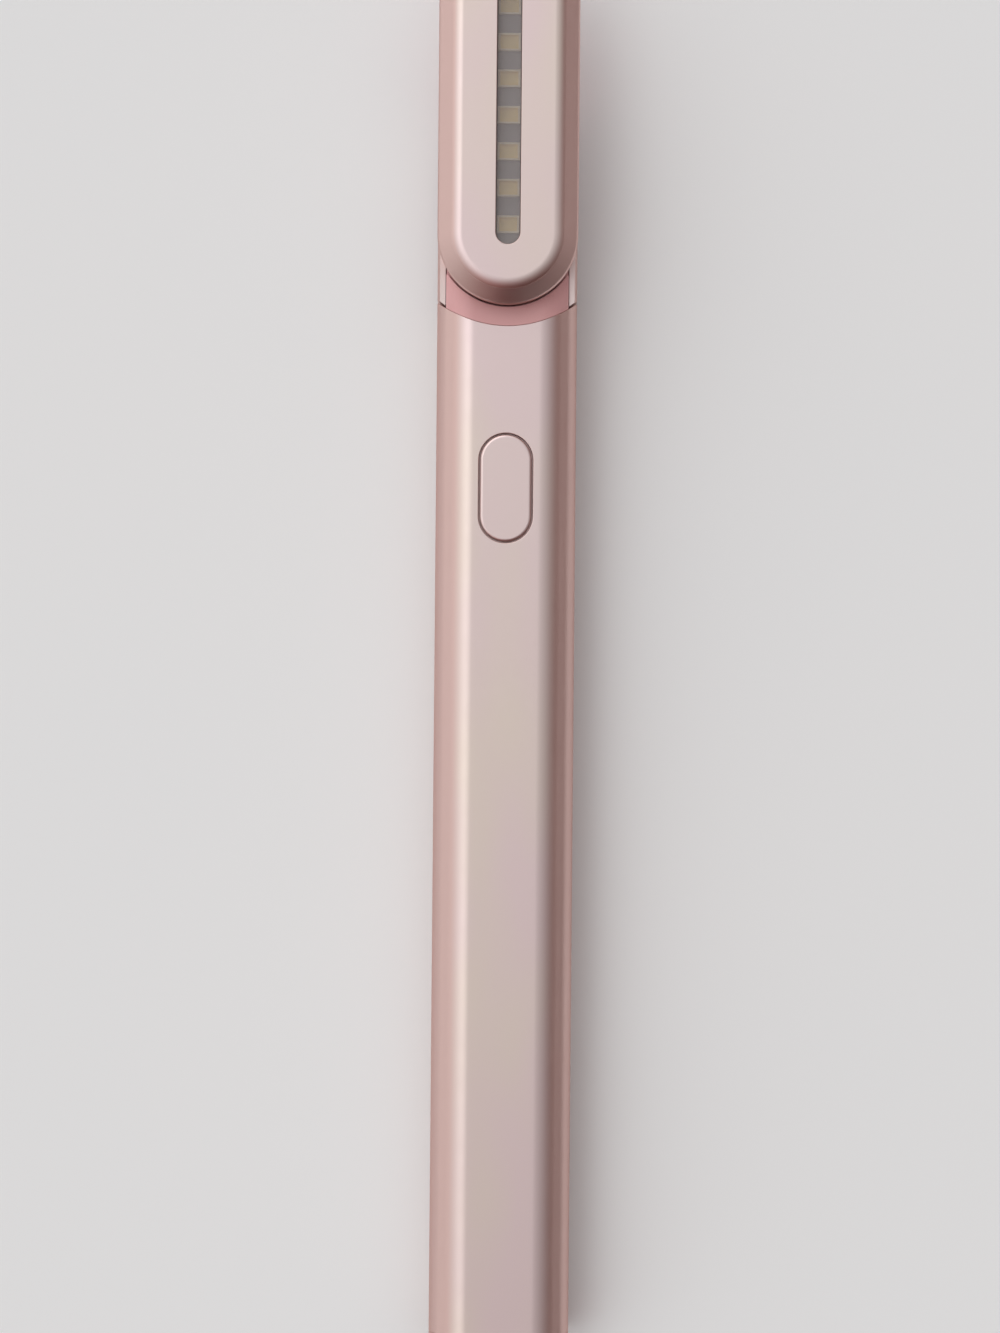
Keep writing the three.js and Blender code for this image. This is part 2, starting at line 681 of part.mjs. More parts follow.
function mainBoard() {
  const y = mainBoardY;
  let board = block(around(0, mainBoardHalfWidth), y, [mainBoardBottom, mainBoardTop]);
  const screwBody = screw(boardScrewHead, boardScrewHeadHeight, boardScrewShank, boardScrewLength);
  const screws = boardPosts().map((post, i) => {
    board = board.subtract(rod('z', boardScrewShank + slideFit, wholeHeight, post, smallSides));
    const name = ['board_screw_rear', 'board_screw_front'][i];
    return screwMesh(name, screwBody, [post.x, post.y, mainBoardTop], [0, 0, 0]);
  });
  const chipY = middle([y[0], buttonY - buttonHalfStraight - guideOuter]);
  const chipZ = [mainBoardTop, mainBoardTop + chipHeight];
  const chip = block(around(0, chipHalfWidth), around(chipY, chipHalfWidth), chipZ);
  const coilPlace = { y: y[1] - postInset };
  const coil = rod('z', coilRadius, [mainBoardTop, mainBoardTop + coilHeight], coilPlace);
  const contactPlace = { x: -postX, y: y[1] - postInset };
  const contactZ = [mainBoardTop, handleCeiling - plungerGap];
  const contact = rod('z', contactRadius, contactZ, contactPlace, smallSides);
  return groupOf(
    piece('main_board', board, boardGreen),
    piece('control_chip', chip, darkPlastic),
    piece('boost_coil', coil, copperMetal),
    piece('handle_contact_pin', contact, copperMetal),
    ...screws,
  );
}

// The button's cap is held under the wall by its lip, over a sealing ring, and presses the switch's plunger
function powerButton() {
  const crownFoot = handleThickness + buttonProud - buttonCrownDrop;
  const crownTop = handleThickness + buttonProud;
  const cap = stadiumLoft(
    [
      [buttonRadius, lipBottomZ + buttonLipThickness / 2],
      [buttonRadius, crownFoot],
      [buttonRadius - buttonCrownRun / 2, crownTop - buttonCrownDrop / 3],
      [buttonRadius - buttonCrownRun, crownTop],
    ],
    buttonHalfStraight,
  );
  const lip = stadium(buttonRadius + buttonLip, buttonHalfStraight, [lipBottomZ, lipTopZ]);
  const plungerTop = mainBoardTop + switchHeight + plungerStand;
  const nub = rod('z', capNubRadius, [plungerTop + plungerGap, lipBottomZ + buttonLipThickness / 2]);
  const gasketZ = [handleCeiling - gasketThickness, handleCeiling];
  const underTube = handleBar(handleWall + gasketFit, around(0, guideOuter + buttonHalfStraight));
  const gasketHole = stadium(buttonHoleRadius + slideFit / 3, buttonHalfStraight, beyond(gasketZ));
  const gasketDisc = stadium(flatHalf(handleWall) - gasketEdge, buttonHalfStraight, gasketZ);
  const gasket = gasketDisc.intersect(underTube).subtract(gasketHole);
  const guideZ = [mainBoardTop, handleCeiling - guideHeadRoom];
  const guide = stadium(guideOuter, buttonHalfStraight, guideZ).subtract(
    stadium(guideInner, buttonHalfStraight, beyond(guideZ)),
  );
  const switchTop = mainBoardTop + switchHeight;
  const boreFloor = switchTop - plungerBoreDepth;
  const switchSide = around(0, switchHalfWidth);
  const switchBody = block(switchSide, switchSide, [mainBoardTop, switchTop]).subtract(
    rod('z', plungerRadius + pinFit, [boreFloor, switchTop + cutOverrun]),
  );
  const plunger = rod('z', plungerRadius, [boreFloor + buttonTravel + pinFit / 2, plungerTop]);
  const button = groupOf(
    piece('power_button', cap.add(lip).add(nub), roseMetal),
    piece('button_gasket', gasket, softRubber),
    piece('button_guide', guide, palePlastic),
    piece('switch_body', switchBody, darkPlastic),
    piece('switch_plunger', plunger, palePlastic),
  );
  button.position.set(0, buttonY, 0);
  return button;
}

// A rounded bar along the neck, as thick as twice its radius, that ends in a half round on the hinge axis
function neckBar(x, radius) {
  const bar = block(x, [plugY0, hingeY], around(hingeHeight, radius));
  return bar.add(rod('x', radius, x, { y: hingeY, z: hingeHeight }, 2 * roundSides));
}

// What lies in front of the tube's round front, with a seam
const inFrontOfTube = (seam) =>
  frontRound(seam).add(
    block(around(0, handleWidth), [frontArcY, hingeY + neckRadius + cutOverrun], wholeHeight),
  );

// The bridge's brow carries the handle's section on in front of the tube, up to the round end of the head
function neckBrow() {
  const y = [frontY - cutOverrun, frontY + browReach];
  const room = { y: headEndY + headRadius };
  const headRoom = rod('z', headRadius + headBackGap, wholeHeight, room, 4 * roundSides);
  return handleBar(bridgeStep, y)
    .intersect(block(around(0, bridgeHalfWidth), y, [hingeHeight, handleThickness]))
    .intersect(inFrontOfTube(frontSeam / 4))
    .subtract(headRoom);
}

function neckBridge() {
  const section = handleBar(0, [plugY0, hingeY + neckRadius + cutOverrun]);
  const plug = handleBar(handleWall + slideFit, [plugY0, frontArcY]).subtract(frontRound(0));
  const core = handleBar(handleWall + slideFit, [plugY0, frontArcY]).intersect(
    block(around(0, handleWidth), [plugY0, frontArcY], around(hingeHeight, bridgeHalfHeight)),
  );
  const bar = neckBar(around(0, bridgeHalfWidth), bridgeHalfHeight);
  const neck = bar.intersect(section).intersect(inFrontOfTube(frontSeam / 4));
  const slot = block(
    around(0, tineInnerX),
    [hingeY - neckRadius - forkGap, hingeY + neckRadius + cutOverrun],
    wholeHeight,
  );
  const axle = { y: hingeY, z: hingeHeight };
  const leadPlace = { z: hingeHeight + leadOffset };
  let body = plug
    .add(core)
    .add(neck)
    .add(neckBrow())
    .subtract(slot)
    .subtract(rod('x', bushRadius + slideFit, around(0, handleWidth), axle))
    .subtract(rod('y', leadChannelRadius, [plugY0 - cutOverrun, hingeY], leadPlace, smallSides));
  const screwHole = { y: neckScrewY, z: neckScrewZ };
  for (const side of [-1, 1]) {
    const holeEnd = handleWidth / 2 - neckScrewLength - 2 * neckScrewHeadHeight;
    const x = inOrder(side * holeEnd, side * handleWidth);
    body = body.subtract(rod('x', neckScrewShank + pinFit, x, screwHole, smallSides));
  }
  return piece('neck_bridge', body, pinkPlastic);
}

function neckSide(side) {
  const word = side < 0 ? 'left' : 'right';
  const outwards = (near, far) => inOrder(side * near, side * far);
  const x = outwards(plateInnerX, handleWidth / 2 + cutOverrun);
  const axle = { y: hingeY, z: hingeHeight };
  const screwPlace = { y: neckScrewY, z: neckScrewZ };
  const headDepth = neckScrewHeadHeight + neckScrewRecess;
  const recessX = outwards(handleWidth / 2 - headDepth, handleWidth);
  const plate = neckBar(x, neckRadius)
    .intersect(handleBar(0, [plugY0, hingeY + neckRadius + cutOverrun]))
    .intersect(inFrontOfTube(frontSeam))
    .subtract(rod('x', pinBore, x, axle))
    .subtract(rod('x', neckScrewShank + slideFit, x, screwPlace, smallSides))
    .subtract(rod('x', neckScrewHead + slideFit, recessX, screwPlace, smallSides));
  const bushX = outwards(tineInnerX + bushEndGap, bridgeHalfWidth);
  const bush = rod('x', bushRadius, bushX, axle).subtract(rod('x', pinBore, beyond(bushX), axle));
  const washerX = outwards(knuckleHalfWidth + washerGap, knuckleHalfWidth + washerGap + washerThickness);
  const washer = rod('x', washerRadius, washerX, axle).subtract(rod('x', pinBore, beyond(washerX), axle));
  const pinX = outwards(knuckleGroove + pinFit, handleWidth / 2 - hingePinRecess);
  const screwBody = screw(neckScrewHead, neckScrewHeadHeight, neckScrewShank, neckScrewLength);
  const screwPosition = [side * (handleWidth / 2 - headDepth), neckScrewY, neckScrewZ];
  return groupOf(
    piece(`neck_side_plate_${word}`, plate, brightMetal),
    piece(`hinge_bush_${word}`, bush, copperMetal),
    piece(`friction_washer_${word}`, washer, softRubber),
    piece(`hinge_pin_${word}`, rod('x', hingePinRadius, pinX, axle), paleMetal),
    screwMesh(`neck_screw_${word}`, screwBody, screwPosition, [0, (side * Math.PI) / 2, 0]),
  );
}

// The lead runs from the main board's end through the bridge, to the groove round the hinge
function neckLead() {
  const y = [mainBoardY[1] + slideFit, hingeY - knuckleCore - leadRadius];
  return piece('neck_lead', rod('y', leadRadius, y, { z: hingeHeight + leadOffset }, wireSides), wireBlack);
}

function headShell() {
  const straight = headHalfStraight;
  const slope = Math.hypot(shoulderRun, shoulderDrop);
  const inward = (shoulderFillet * shoulderRun) / slope;
  const upward = (shoulderFillet * shoulderDrop) / slope;
  const outer = stadiumLoft(
    [
      [headRadius - headEdge, headBackZ],
      [headRadius - headEdge / 4, headBackZ + headEdge / 2],
      [headRadius, headBackZ + headEdge * 1.5],
      [headRadius, shoulderZ - shoulderFillet],
      [headRadius - inward / 5, shoulderZ - shoulderFillet / 5],
      [headRadius - inward, shoulderZ + upward],
      [plateRadius, shellTopZ],
    ],
    straight,
  );
  const innerRadius = headRadius - headWall;
  const hollow = stadiumLoft(
    [
      [innerRadius, headBackZ - cutOverrun],
      [innerRadius, shoulderZ - shoulderFillet],
      [seatRadius, shellTopZ - headWall * 1.2],
      [seatRadius, shellTopZ + cutOverrun],
    ],
    straight,
  );
  let body = outer.subtract(hollow);
  const bossZ = [coverTopZ + headBossGap, coverTopZ + headBossGap + headBossHeight];
  for (const end of [-1, 1]) {
    const place = { y: end * headBossY };
    const webY = inOrder(place.y, end * (headLength / 2 - headWall / 2));
    const threadZ = [bossZ[0] - cutOverrun, bossZ[1] - headEdge];
    body = body
      .add(rod('z', headBossRadius, bossZ, place, smallSides))
      .add(block(around(0, headWebHalfWidth), webY, bossZ))
      .subtract(rod('z', headScrewShank + slideFit, threadZ, place, smallSides));
  }
  return piece('head_shell', body, roseMetal);
}

// The back cover carries the hinge's knuckle: two cheeks on a hollow core, with a groove for the lead
// between them.
function headBackCover() {
  const coverZ = [headBackZ, coverTopZ];
  const cover = stadium(headRadius - headWall - coverFit, headHalfStraight, coverZ);
  const wideX = around(0, knuckleHalfWidth);
  const knuckle = rod('x', knuckleRadius, wideX).add(
    block(wideX, around(0, knuckleRadius), [0, headBackZ + coverThickness / 2]),
  );
  const grooveX = around(0, knuckleGroove);
  const groove = block(grooveX, around(0, 2 * knuckleRadius), [-2 * knuckleRadius, headBackZ]).subtract(
    rod('x', knuckleCore, grooveX),
  );
  let body = cover
    .add(knuckle)
    .subtract(groove)
    .subtract(rod('x', pinBore, around(0, handleWidth)))
    .subtract(rod('z', leadChannelRadius, beyond(coverZ), {}, smallSides));
  for (const end of [-1, 1]) {
    const place = { y: end * headBossY };
    const recessZ = [headBackZ - cutOverrun, headBackZ + headScrewHeadHeight + headScrewRecess];
    body = body
      .subtract(rod('z', headScrewShank + slideFit, beyond(coverZ), place, smallSides))
      .subtract(rod('z', headScrewHead + slideFit, recessZ, place, smallSides));
  }
  for (const post of ledPosts()) {
    const threadZ = [coverTopZ, ledBoardBottom + cutOverrun];
    body = body
      .add(rod('z', ledPostRadius, [coverTopZ - coverThickness / 2, ledBoardBottom], post, smallSides))
      .subtract(rod('z', ledScrewShank + slideFit, threadZ, post, smallSides));
  }
  return piece('head_back_cover', body, pinkPlastic);
}

// The two posts that the lamp board is screwed to, at opposite corners
function ledPosts() {
  const y = ledBoardHalfLength - ledScrewInset;
  return [{ x: ledScrewX, y }, { x: -ledScrewX, y: -y }];
}

// The plate's flat face falls away to its upright rim in an arc
function treatmentPlate() {
  const cutZ = [spigotZ - cutOverrun, plateTopZ + cutOverrun];
  const crown = [];
  const crownTurn = Math.asin(plateCrownRun / plateCrownRadius);
  for (let step = bendSteps; step >= 0; step--) {
    const angle = (crownTurn * step) / bendSteps;
    crown.push([
      plateFlatRadius + plateCrownRadius * Math.sin(angle),
      plateTopZ - plateCrownRadius * (1 - Math.cos(angle)),
    ]);
  }
  const raised = stadiumLoft(
    [
      [spigotRadius, spigotZ],
      [spigotRadius, plateFootZ],
    ],
    headHalfStraight,
  ).add(
    stadiumLoft(
      [
        [plateRadius - plateFillet, plateFootZ],
        [plateRadius, plateFootZ + plateFillet],
        ...crown,
      ],
      headHalfStraight,
    ),
  );
  const pocketTop = spigotZ + lensPocketDepth;
  const body = raised
    .subtract(stadium(lensSlotRadius, headHalfStraight, cutZ))
    .subtract(stadium(lensFlangeRadius + lensPocketFit, headHalfStraight, [cutZ[0], pocketTop]));
  const seal = stadium(plateRadius - seatLedge / 8, headHalfStraight, [shellTopZ, plateFootZ]).subtract(
    stadium(spigotRadius + seatLedge / 4, headHalfStraight, cutZ),
  );
  const lensBottom = spigotZ + lensPocketFit;
  const lens = stadium(lensFlangeRadius, headHalfStraight, [lensBottom, pocketTop - lensFit]).add(
    stadium(lensSlotRadius - lensFit, headHalfStraight, [lensBottom, plateTopZ - lensRecess]),
  );
  return groupOf(
    piece('treatment_plate', body, roseMetal),
    piece('plate_gasket', seal, softRubber),
    piece('light_window', lens, smokedPlastic),
  );
}

function lampBoard() {
  const boardZ = [ledBoardBottom, ledBoardTop];
  let board = block(around(0, ledBoardHalfWidth), around(0, ledBoardHalfLength), boardZ);
  const screwBody = screw(ledScrewHead, ledScrewHeadHeight, ledScrewShank, ledScrewLength);
  const screws = ledPosts().map((post, i) => {
    board = board.subtract(rod('z', ledScrewShank + slideFit, beyond(boardZ), post, smallSides));
    const name = ['led_screw_upper', 'led_screw_lower'][i];
    return screwMesh(name, screwBody, [post.x, post.y, ledBoardTop], [0, 0, 0]);
  });
  const lamp = block(around(0, lampHalfWidth), around(0, lampHalfLength), [0, lampHeight]).subtract(
    block(
      around(0, lampHalfWidth - lampRim),
      around(0, lampHalfLength - lampRim),
      [lampHeight - lampDish, lampHeight + cutOverrun],
    ),
  );
  const lamps = [];
  for (let i = 0; i < lampCount; i++) {
    const mesh = piece(`led_${i + 1}`, lamp, lampPlastic);
    mesh.position.set(0, (i - (lampCount - 1) / 2) * lampPitch, ledBoardTop);
    lamps.push(mesh);
  }
  const contactPlace = { x: -ledScrewX, y: ledBoardHalfLength - ledScrewInset };
  const contact = rod('z', headContactRadius, [ledBoardTop, spigotZ], contactPlace, smallSides);
  const lead = rod('z', leadRadius, [knuckleCore + leadRadius / 2, ledBoardBottom], {}, wireSides);
  return groupOf(
    piece('led_board', board, boardWhite),
    ...lamps,
    ...screws,
    piece('plate_contact_pin', contact, copperMetal),
    piece('head_lead', lead, wireBlack),
  );
}

function headScrews() {
  const body = screw(headScrewHead, headScrewHeadHeight, headScrewShank, headScrewLength);
  const z = headBackZ + headScrewRecess + headScrewHeadHeight;
  return groupOf(
    screwMesh('head_screw_upper', body, [0, headBossY, z], [Math.PI, 0, 0]),
    screwMesh('head_screw_lower', body, [0, -headBossY, z], [Math.PI, 0, 0]),
  );
}

function head() {
  const group = groupOf(headShell(), headBackCover(), treatmentPlate(), lampBoard(), headScrews());
  group.position.set(0, hingeY, hingeHeight);
  return group;
}

const wand = groupOf(
  handleTube(),
  endCap(),
  chargingSocket(),
  chassisTray(),
  powerCell(),
  vibrationMotor(),
  mainBoard(),
  powerButton(),
  neckBridge(),
  neckSide(-1),
  neckSide(1),
  neckLead(),
  head(),
);

export default wand;
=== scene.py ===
# %% [markdown]
# # A skincare wand, dressed for its picture
#
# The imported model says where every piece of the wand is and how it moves. This script loads it, takes the
# photograph's view of it, and gives each piece the shape and finish that the eye expects.
#
# Everything is in one frame: X runs across the wand, Y from the butt to the head, and Z out of the lit
# face. The wand lies on the flat back of its handle, on Z = 0. Blender works in metres. The wand's sizes
# are written in millimetres, and MM turns them into metres.

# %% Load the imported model
import json
import math

import bmesh
import bpy
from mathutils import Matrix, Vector

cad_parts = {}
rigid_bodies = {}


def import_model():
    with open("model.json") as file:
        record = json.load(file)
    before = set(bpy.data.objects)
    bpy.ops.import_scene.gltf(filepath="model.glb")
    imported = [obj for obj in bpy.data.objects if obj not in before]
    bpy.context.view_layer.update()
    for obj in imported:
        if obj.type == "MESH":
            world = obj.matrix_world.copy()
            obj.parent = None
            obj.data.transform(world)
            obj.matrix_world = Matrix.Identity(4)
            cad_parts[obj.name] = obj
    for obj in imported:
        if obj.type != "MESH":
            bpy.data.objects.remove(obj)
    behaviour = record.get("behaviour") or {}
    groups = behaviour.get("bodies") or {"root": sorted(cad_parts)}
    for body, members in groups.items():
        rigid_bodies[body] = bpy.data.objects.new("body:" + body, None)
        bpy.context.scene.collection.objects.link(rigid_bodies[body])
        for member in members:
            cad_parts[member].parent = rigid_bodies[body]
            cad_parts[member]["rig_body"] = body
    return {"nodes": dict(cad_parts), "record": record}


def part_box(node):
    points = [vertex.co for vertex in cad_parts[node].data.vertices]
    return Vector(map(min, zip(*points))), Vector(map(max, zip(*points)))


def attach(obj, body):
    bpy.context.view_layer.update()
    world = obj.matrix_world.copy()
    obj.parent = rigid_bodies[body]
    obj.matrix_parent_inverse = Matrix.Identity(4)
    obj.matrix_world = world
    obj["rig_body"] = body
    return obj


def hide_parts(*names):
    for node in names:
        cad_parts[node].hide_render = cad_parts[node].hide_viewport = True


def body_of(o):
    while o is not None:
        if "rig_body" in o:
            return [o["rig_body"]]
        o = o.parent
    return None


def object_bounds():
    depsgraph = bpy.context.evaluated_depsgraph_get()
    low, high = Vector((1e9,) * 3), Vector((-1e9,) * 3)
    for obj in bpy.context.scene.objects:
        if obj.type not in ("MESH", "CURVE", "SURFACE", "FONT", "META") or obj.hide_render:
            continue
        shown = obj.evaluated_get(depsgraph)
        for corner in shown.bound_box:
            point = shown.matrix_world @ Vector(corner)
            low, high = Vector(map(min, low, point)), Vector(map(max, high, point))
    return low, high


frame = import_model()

MM = 0.001
cad_box = [list(corner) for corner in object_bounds()]
size = [high - low for low, high in zip(*cad_box)]
print("the wand measures", " x ".join(f"{s / MM:.1f}" for s in size), "mm")

# %% [markdown]
# ## The camera
#
# The photograph looks straight down on the wand, from about half a metre, and the wand fills more than its
# height: the tip of the head and the butt are both cut off. The lens is long, so the sides of the handle
# don't show. The camera stands a little nearer the butt than the middle of the wand, and it is turned by
# half a degree, as the wand leans by that much in the picture.

# %% Place the camera
CAMERA_X, CAMERA_Y, CAMERA_HEIGHT = -0.5, -3.6, 500
CAMERA_TURN = 0.5
SENSOR, LENS, NEAREST = 36, 108.97, 10

camera = bpy.data.objects.new("camera", bpy.data.cameras.new("camera"))
bpy.context.scene.collection.objects.link(camera)
camera.data.sensor_width = SENSOR
camera.data.lens = LENS
camera.data.clip_start = NEAREST * MM
camera.location = (CAMERA_X * MM, CAMERA_Y * MM, CAMERA_HEIGHT * MM)
camera.rotation_euler = (0, 0, math.radians(CAMERA_TURN))
bpy.context.scene.camera = camera
print("the camera sees", round(CAMERA_HEIGHT * SENSOR / LENS), "mm of the floor, from top to bottom")

# %% [markdown]
# ## The light
#
# Metal with a satin finish is a blurred mirror, so what matters is how bright each part of the surroundings
# is. The photograph tells that by its metal. The flat shows what is overhead, the rounded ridges sweep over
# the sky from the middle to either side, and the facets show what is near the horizon. The brightest light
# stands only twenty degrees to the left of overhead, the left is dimmer, and the right falls away to the
# warm dark of a room.
#
# A lamp would show as a spot on such metal. So the world itself is the light, painted with ramps: a few
# stops, with smooth change between them.

# %% A helper for a painted sky
room = bpy.context.scene.world or bpy.data.worlds.new("room")
bpy.context.scene.world = room
room.use_nodes = True
sky = room.node_tree
sky.nodes.clear()


def add_node(tree, kind, **settings):
    """A new shader node in a tree, with its settings."""
    node = tree.nodes.new(kind)
    for setting, value in settings.items():
        setattr(node, setting, value)
    return node


def painted(stops, low, high, peak):
    """A ramp whose stops are colours at values between low and high, as shares of the peak."""
    share = add_node(sky, "ShaderNodeMapRange")
    share.inputs["From Min"].default_value = low
    share.inputs["From Max"].default_value = high
    ramp = add_node(sky, "ShaderNodeValToRGB")
    while len(ramp.color_ramp.elements) < len(stops):
        ramp.color_ramp.elements.new(1)
    for stop, (value, light) in zip(ramp.color_ramp.elements, stops.items()):
        stop.position = (value - low) / (high - low)
        stop.color = (*(part / peak for part in light), 1)
    sky.links.new(share.outputs["Result"], ramp.inputs["Fac"])
    return share.inputs["Value"], ramp.outputs["Color"]


print("helpers: add_node, painted")

# %% [markdown]
# The first ramp goes by a direction's lean: the angle between overhead and that direction, seen along the
# wand. It is -90 degrees on the left horizon and 90 on the right one.

# %% From left to right
SIDE_PEAK = 1.9
lean_in, across = painted({
    -90: (0.80, 0.79, 0.78),
    -62: (0.82, 0.81, 0.80),
    -44: (1.02, 1.00, 0.99),
    -30: (1.46, 1.45, 1.44),
    -22: (1.86, 1.85, 1.83),
    -14: (1.68, 1.67, 1.66),
    -5: (0.88, 0.88, 0.88),
    6: (0.80, 0.80, 0.80),
    22: (0.72, 0.71, 0.70),
    40: (0.52, 0.47, 0.46),
    56: (0.31, 0.26, 0.25),
    90: (0.22, 0.155, 0.145),
}, -90, 90, SIDE_PEAK)
heading = add_node(sky, "ShaderNodeTexCoord")
along = add_node(sky, "ShaderNodeSeparateXYZ")
lean = add_node(sky, "ShaderNodeMath", operation="ARCTAN2")
degrees = add_node(sky, "ShaderNodeMath", operation="DEGREES")
sky.links.new(heading.outputs["Generated"], along.inputs["Vector"])
sky.links.new(along.outputs["X"], lean.inputs[0])
sky.links.new(along.outputs["Z"], lean.inputs[1])
sky.links.new(lean.outputs["Value"], degrees.inputs[0])
sky.links.new(degrees.outputs["Value"], lean_in)
print("from left to right the sky has", len(sky.nodes), "nodes")

# %% [markdown]
# Straight ahead along the wand, left and right meet on the horizon, and a hard seam would stand there. So
# the sky fades to one plain tone where a direction's share along the wand comes near to 1.

# %% Straight ahead
AHEAD_FROM, AHEAD_TO = 0.93, 0.995
AHEAD_TONE = (0.52, 0.50, 0.49)
ahead = add_node(sky, "ShaderNodeMath", operation="ABSOLUTE")
nearly_ahead = add_node(sky, "ShaderNodeMapRange", interpolation_type="SMOOTHSTEP")
nearly_ahead.inputs["From Min"].default_value = AHEAD_FROM
nearly_ahead.inputs["From Max"].default_value = AHEAD_TO
across_sky = add_node(sky, "ShaderNodeMix", data_type="RGBA")
across_sky.inputs["B"].default_value = (*(part / SIDE_PEAK for part in AHEAD_TONE), 1)
sky.links.new(along.outputs["Y"], ahead.inputs[0])
sky.links.new(ahead.outputs["Value"], nearly_ahead.inputs["Value"])
sky.links.new(nearly_ahead.outputs["Result"], across_sky.inputs["Factor"])
sky.links.new(across, across_sky.inputs["A"])
print("the fade starts", round(math.degrees(math.acos(AHEAD_FROM))), "degrees from straight ahead")

# %% [markdown]
# The wand also gets darker towards the butt, and the round end of the head, where it faces the butt, is a
# dark red brown. The dark side of the room lies there. So a second ramp dims the sky towards that side, and
# lifts it a little on the other. It goes by the dot product of a direction and the way to the dark side,
# which is 1 towards it and -1 away from it.

# %% Darker beyond the butt
to_dark_side = Vector((0.12, -0.95, 0.28)).normalized()
ALONG_PEAK = 1.4
dot_in, dimmed = painted({
    -1.0: (1.36, 1.36, 1.36),
    -0.4: (1.26, 1.26, 1.26),
    0.0: (1.08, 1.08, 1.08),
    0.15: (1.02, 1.02, 1.02),
    0.28: (0.93, 0.93, 0.93),
    0.42: (0.76, 0.75, 0.75),
    0.6: (0.55, 0.48, 0.47),
    0.8: (0.29, 0.16, 0.155),
    0.92: (0.13, 0.030, 0.030),
    1.0: (0.07, 0.010, 0.010),
}, -1, 1, ALONG_PEAK)
nearness = add_node(sky, "ShaderNodeVectorMath", operation="DOT_PRODUCT")
nearness.inputs[1].default_value = to_dark_side
both = add_node(sky, "ShaderNodeVectorMath", operation="MULTIPLY")
sky_shader = add_node(sky, "ShaderNodeBackground")
sky_shader.inputs["Strength"].default_value = SIDE_PEAK * ALONG_PEAK
sky_out = add_node(sky, "ShaderNodeOutputWorld")
sky.links.new(heading.outputs["Generated"], nearness.inputs[0])
sky.links.new(nearness.outputs["Value"], dot_in)
sky.links.new(across_sky.outputs["Result"], both.inputs[0])
sky.links.new(dimmed, both.inputs[1])
sky.links.new(both.outputs["Vector"], sky_shader.inputs["Color"])
sky.links.new(sky_shader.outputs["Background"], sky_out.inputs["Surface"])
print("the sky's strength is", round(SIDE_PEAK * ALONG_PEAK, 2), "times both ramps")

# %% [markdown]
# ## Two ways to make a mesh
#
# Most pieces of the wand are one of two kinds. Some are an outline carried along a path, like the handle,
# which is an eight-sided section carried from the butt to the front. Others are a profile swept round a
# stadium (two half circles joined by straight lines), like the head, its plate, the window and the button.
# A circle is a stadium with no straight part, so screws and pins come from the same helper.
#
# Both kinds are stacks of rings with as many points in each, so one function can skin them. Real edges are
# never perfectly sharp, and a tiny round on each is what catches the light. `rounded` puts such a round on
# every corner of an outline.

# %% Rounded outlines
def rounded(corners, steps=6, fill=0):
    """
    Points along a closed outline whose corners are (a, b, radius).
    Each round has that many steps, and fill adds points between the rounds.
    """
    arcs = []
    for i, (a, b, radius) in enumerate(corners):
        corner = Vector((a, b))
        before = Vector(corners[i - 1][:2])
        after = Vector(corners[(i + 1) % len(corners)][:2])
        arriving, leaving = (corner - before).normalized(), (after - corner).normalized()
        turn = math.atan2(arriving.x * leaving.y - arriving.y * leaving.x, arriving.dot(leaving))
        if radius <= 0 or abs(turn) < 1e-4:
            arcs.append([corner])
            continue
        reach = radius * math.tan(abs(turn) / 2)
        inward = Vector((-arriving.y, arriving.x)) * math.copysign(1, turn)
        centre = corner - arriving * reach + inward * radius
        spoke = -inward * radius
        arc = []
        for step in range(steps + 1):
            angle = turn * step / steps
            c, s = math.cos(angle), math.sin(angle)
            arc.append(centre + Vector((spoke.x * c - spoke.y * s, spoke.x * s + spoke.y * c)))
        arcs.append(arc)
    points = []
    for i, arc in enumerate(arcs):
        points += arc
        start, end = arc[-1], arcs[(i + 1) % len(arcs)][0]
        points += [start.lerp(end, k / (fill + 1)) for k in range(1, fill + 1)]
    return [(p.x, p.y) for p in points]


def edge_round(run, drop, degrees):
    """How far in and how far back an edge's round stands, at those degrees of its turn."""
    turns = [math.radians(a) for a in degrees]
    return [(run * (1 - math.sin(a)), drop * (1 - math.cos(a))) for a in turns]


def arc_points(a, b, radius, first, turn, steps):
    """Points along an arc round (a, b), from its first angle on through its turn, both in degrees."""
    angles = [math.radians(first + turn * k / steps) for k in range(steps + 1)]
    return [(a + radius * math.cos(angle), b + radius * math.sin(angle)) for angle in angles]


print("a rounded square has", len(rounded([(0, 0, 1), (9, 0, 1), (9, 9, 1), (0, 9, 1)])), "points")

# %% Rings
TURNS = {
    "z": lambda a, b, h: (a, b, h),
    "x": lambda a, b, h: (h, a, b),
    "y": lambda a, b, h: (b, h, a),
}


def spun(profile, straight=0.0, axis="z", at=(0, 0, 0), steps=40):
    """One ring for each (radius, height) of the profile, round a stadium with that half straight, in mm."""
    rings = []
    for radius, height in profile:
        ring = []
        for end in (1, -1):
            for k in range(steps + 1 if straight else steps):
                angle = math.pi * k / steps
                a = end * radius * math.cos(angle)
                b = end * (straight + radius * math.sin(angle))
                ring.append(Vector(TURNS[axis](a, b, height)) + Vector(at))
        rings.append(ring)
    return rings


def prism(outline, low, high, axis):
    """Two rings: the outline at the low and at the high end of an axis."""
    return [[Vector(TURNS[axis](a, b, h)) for a, b in outline] for h in (low, high)]


print("helpers: spun, prism")

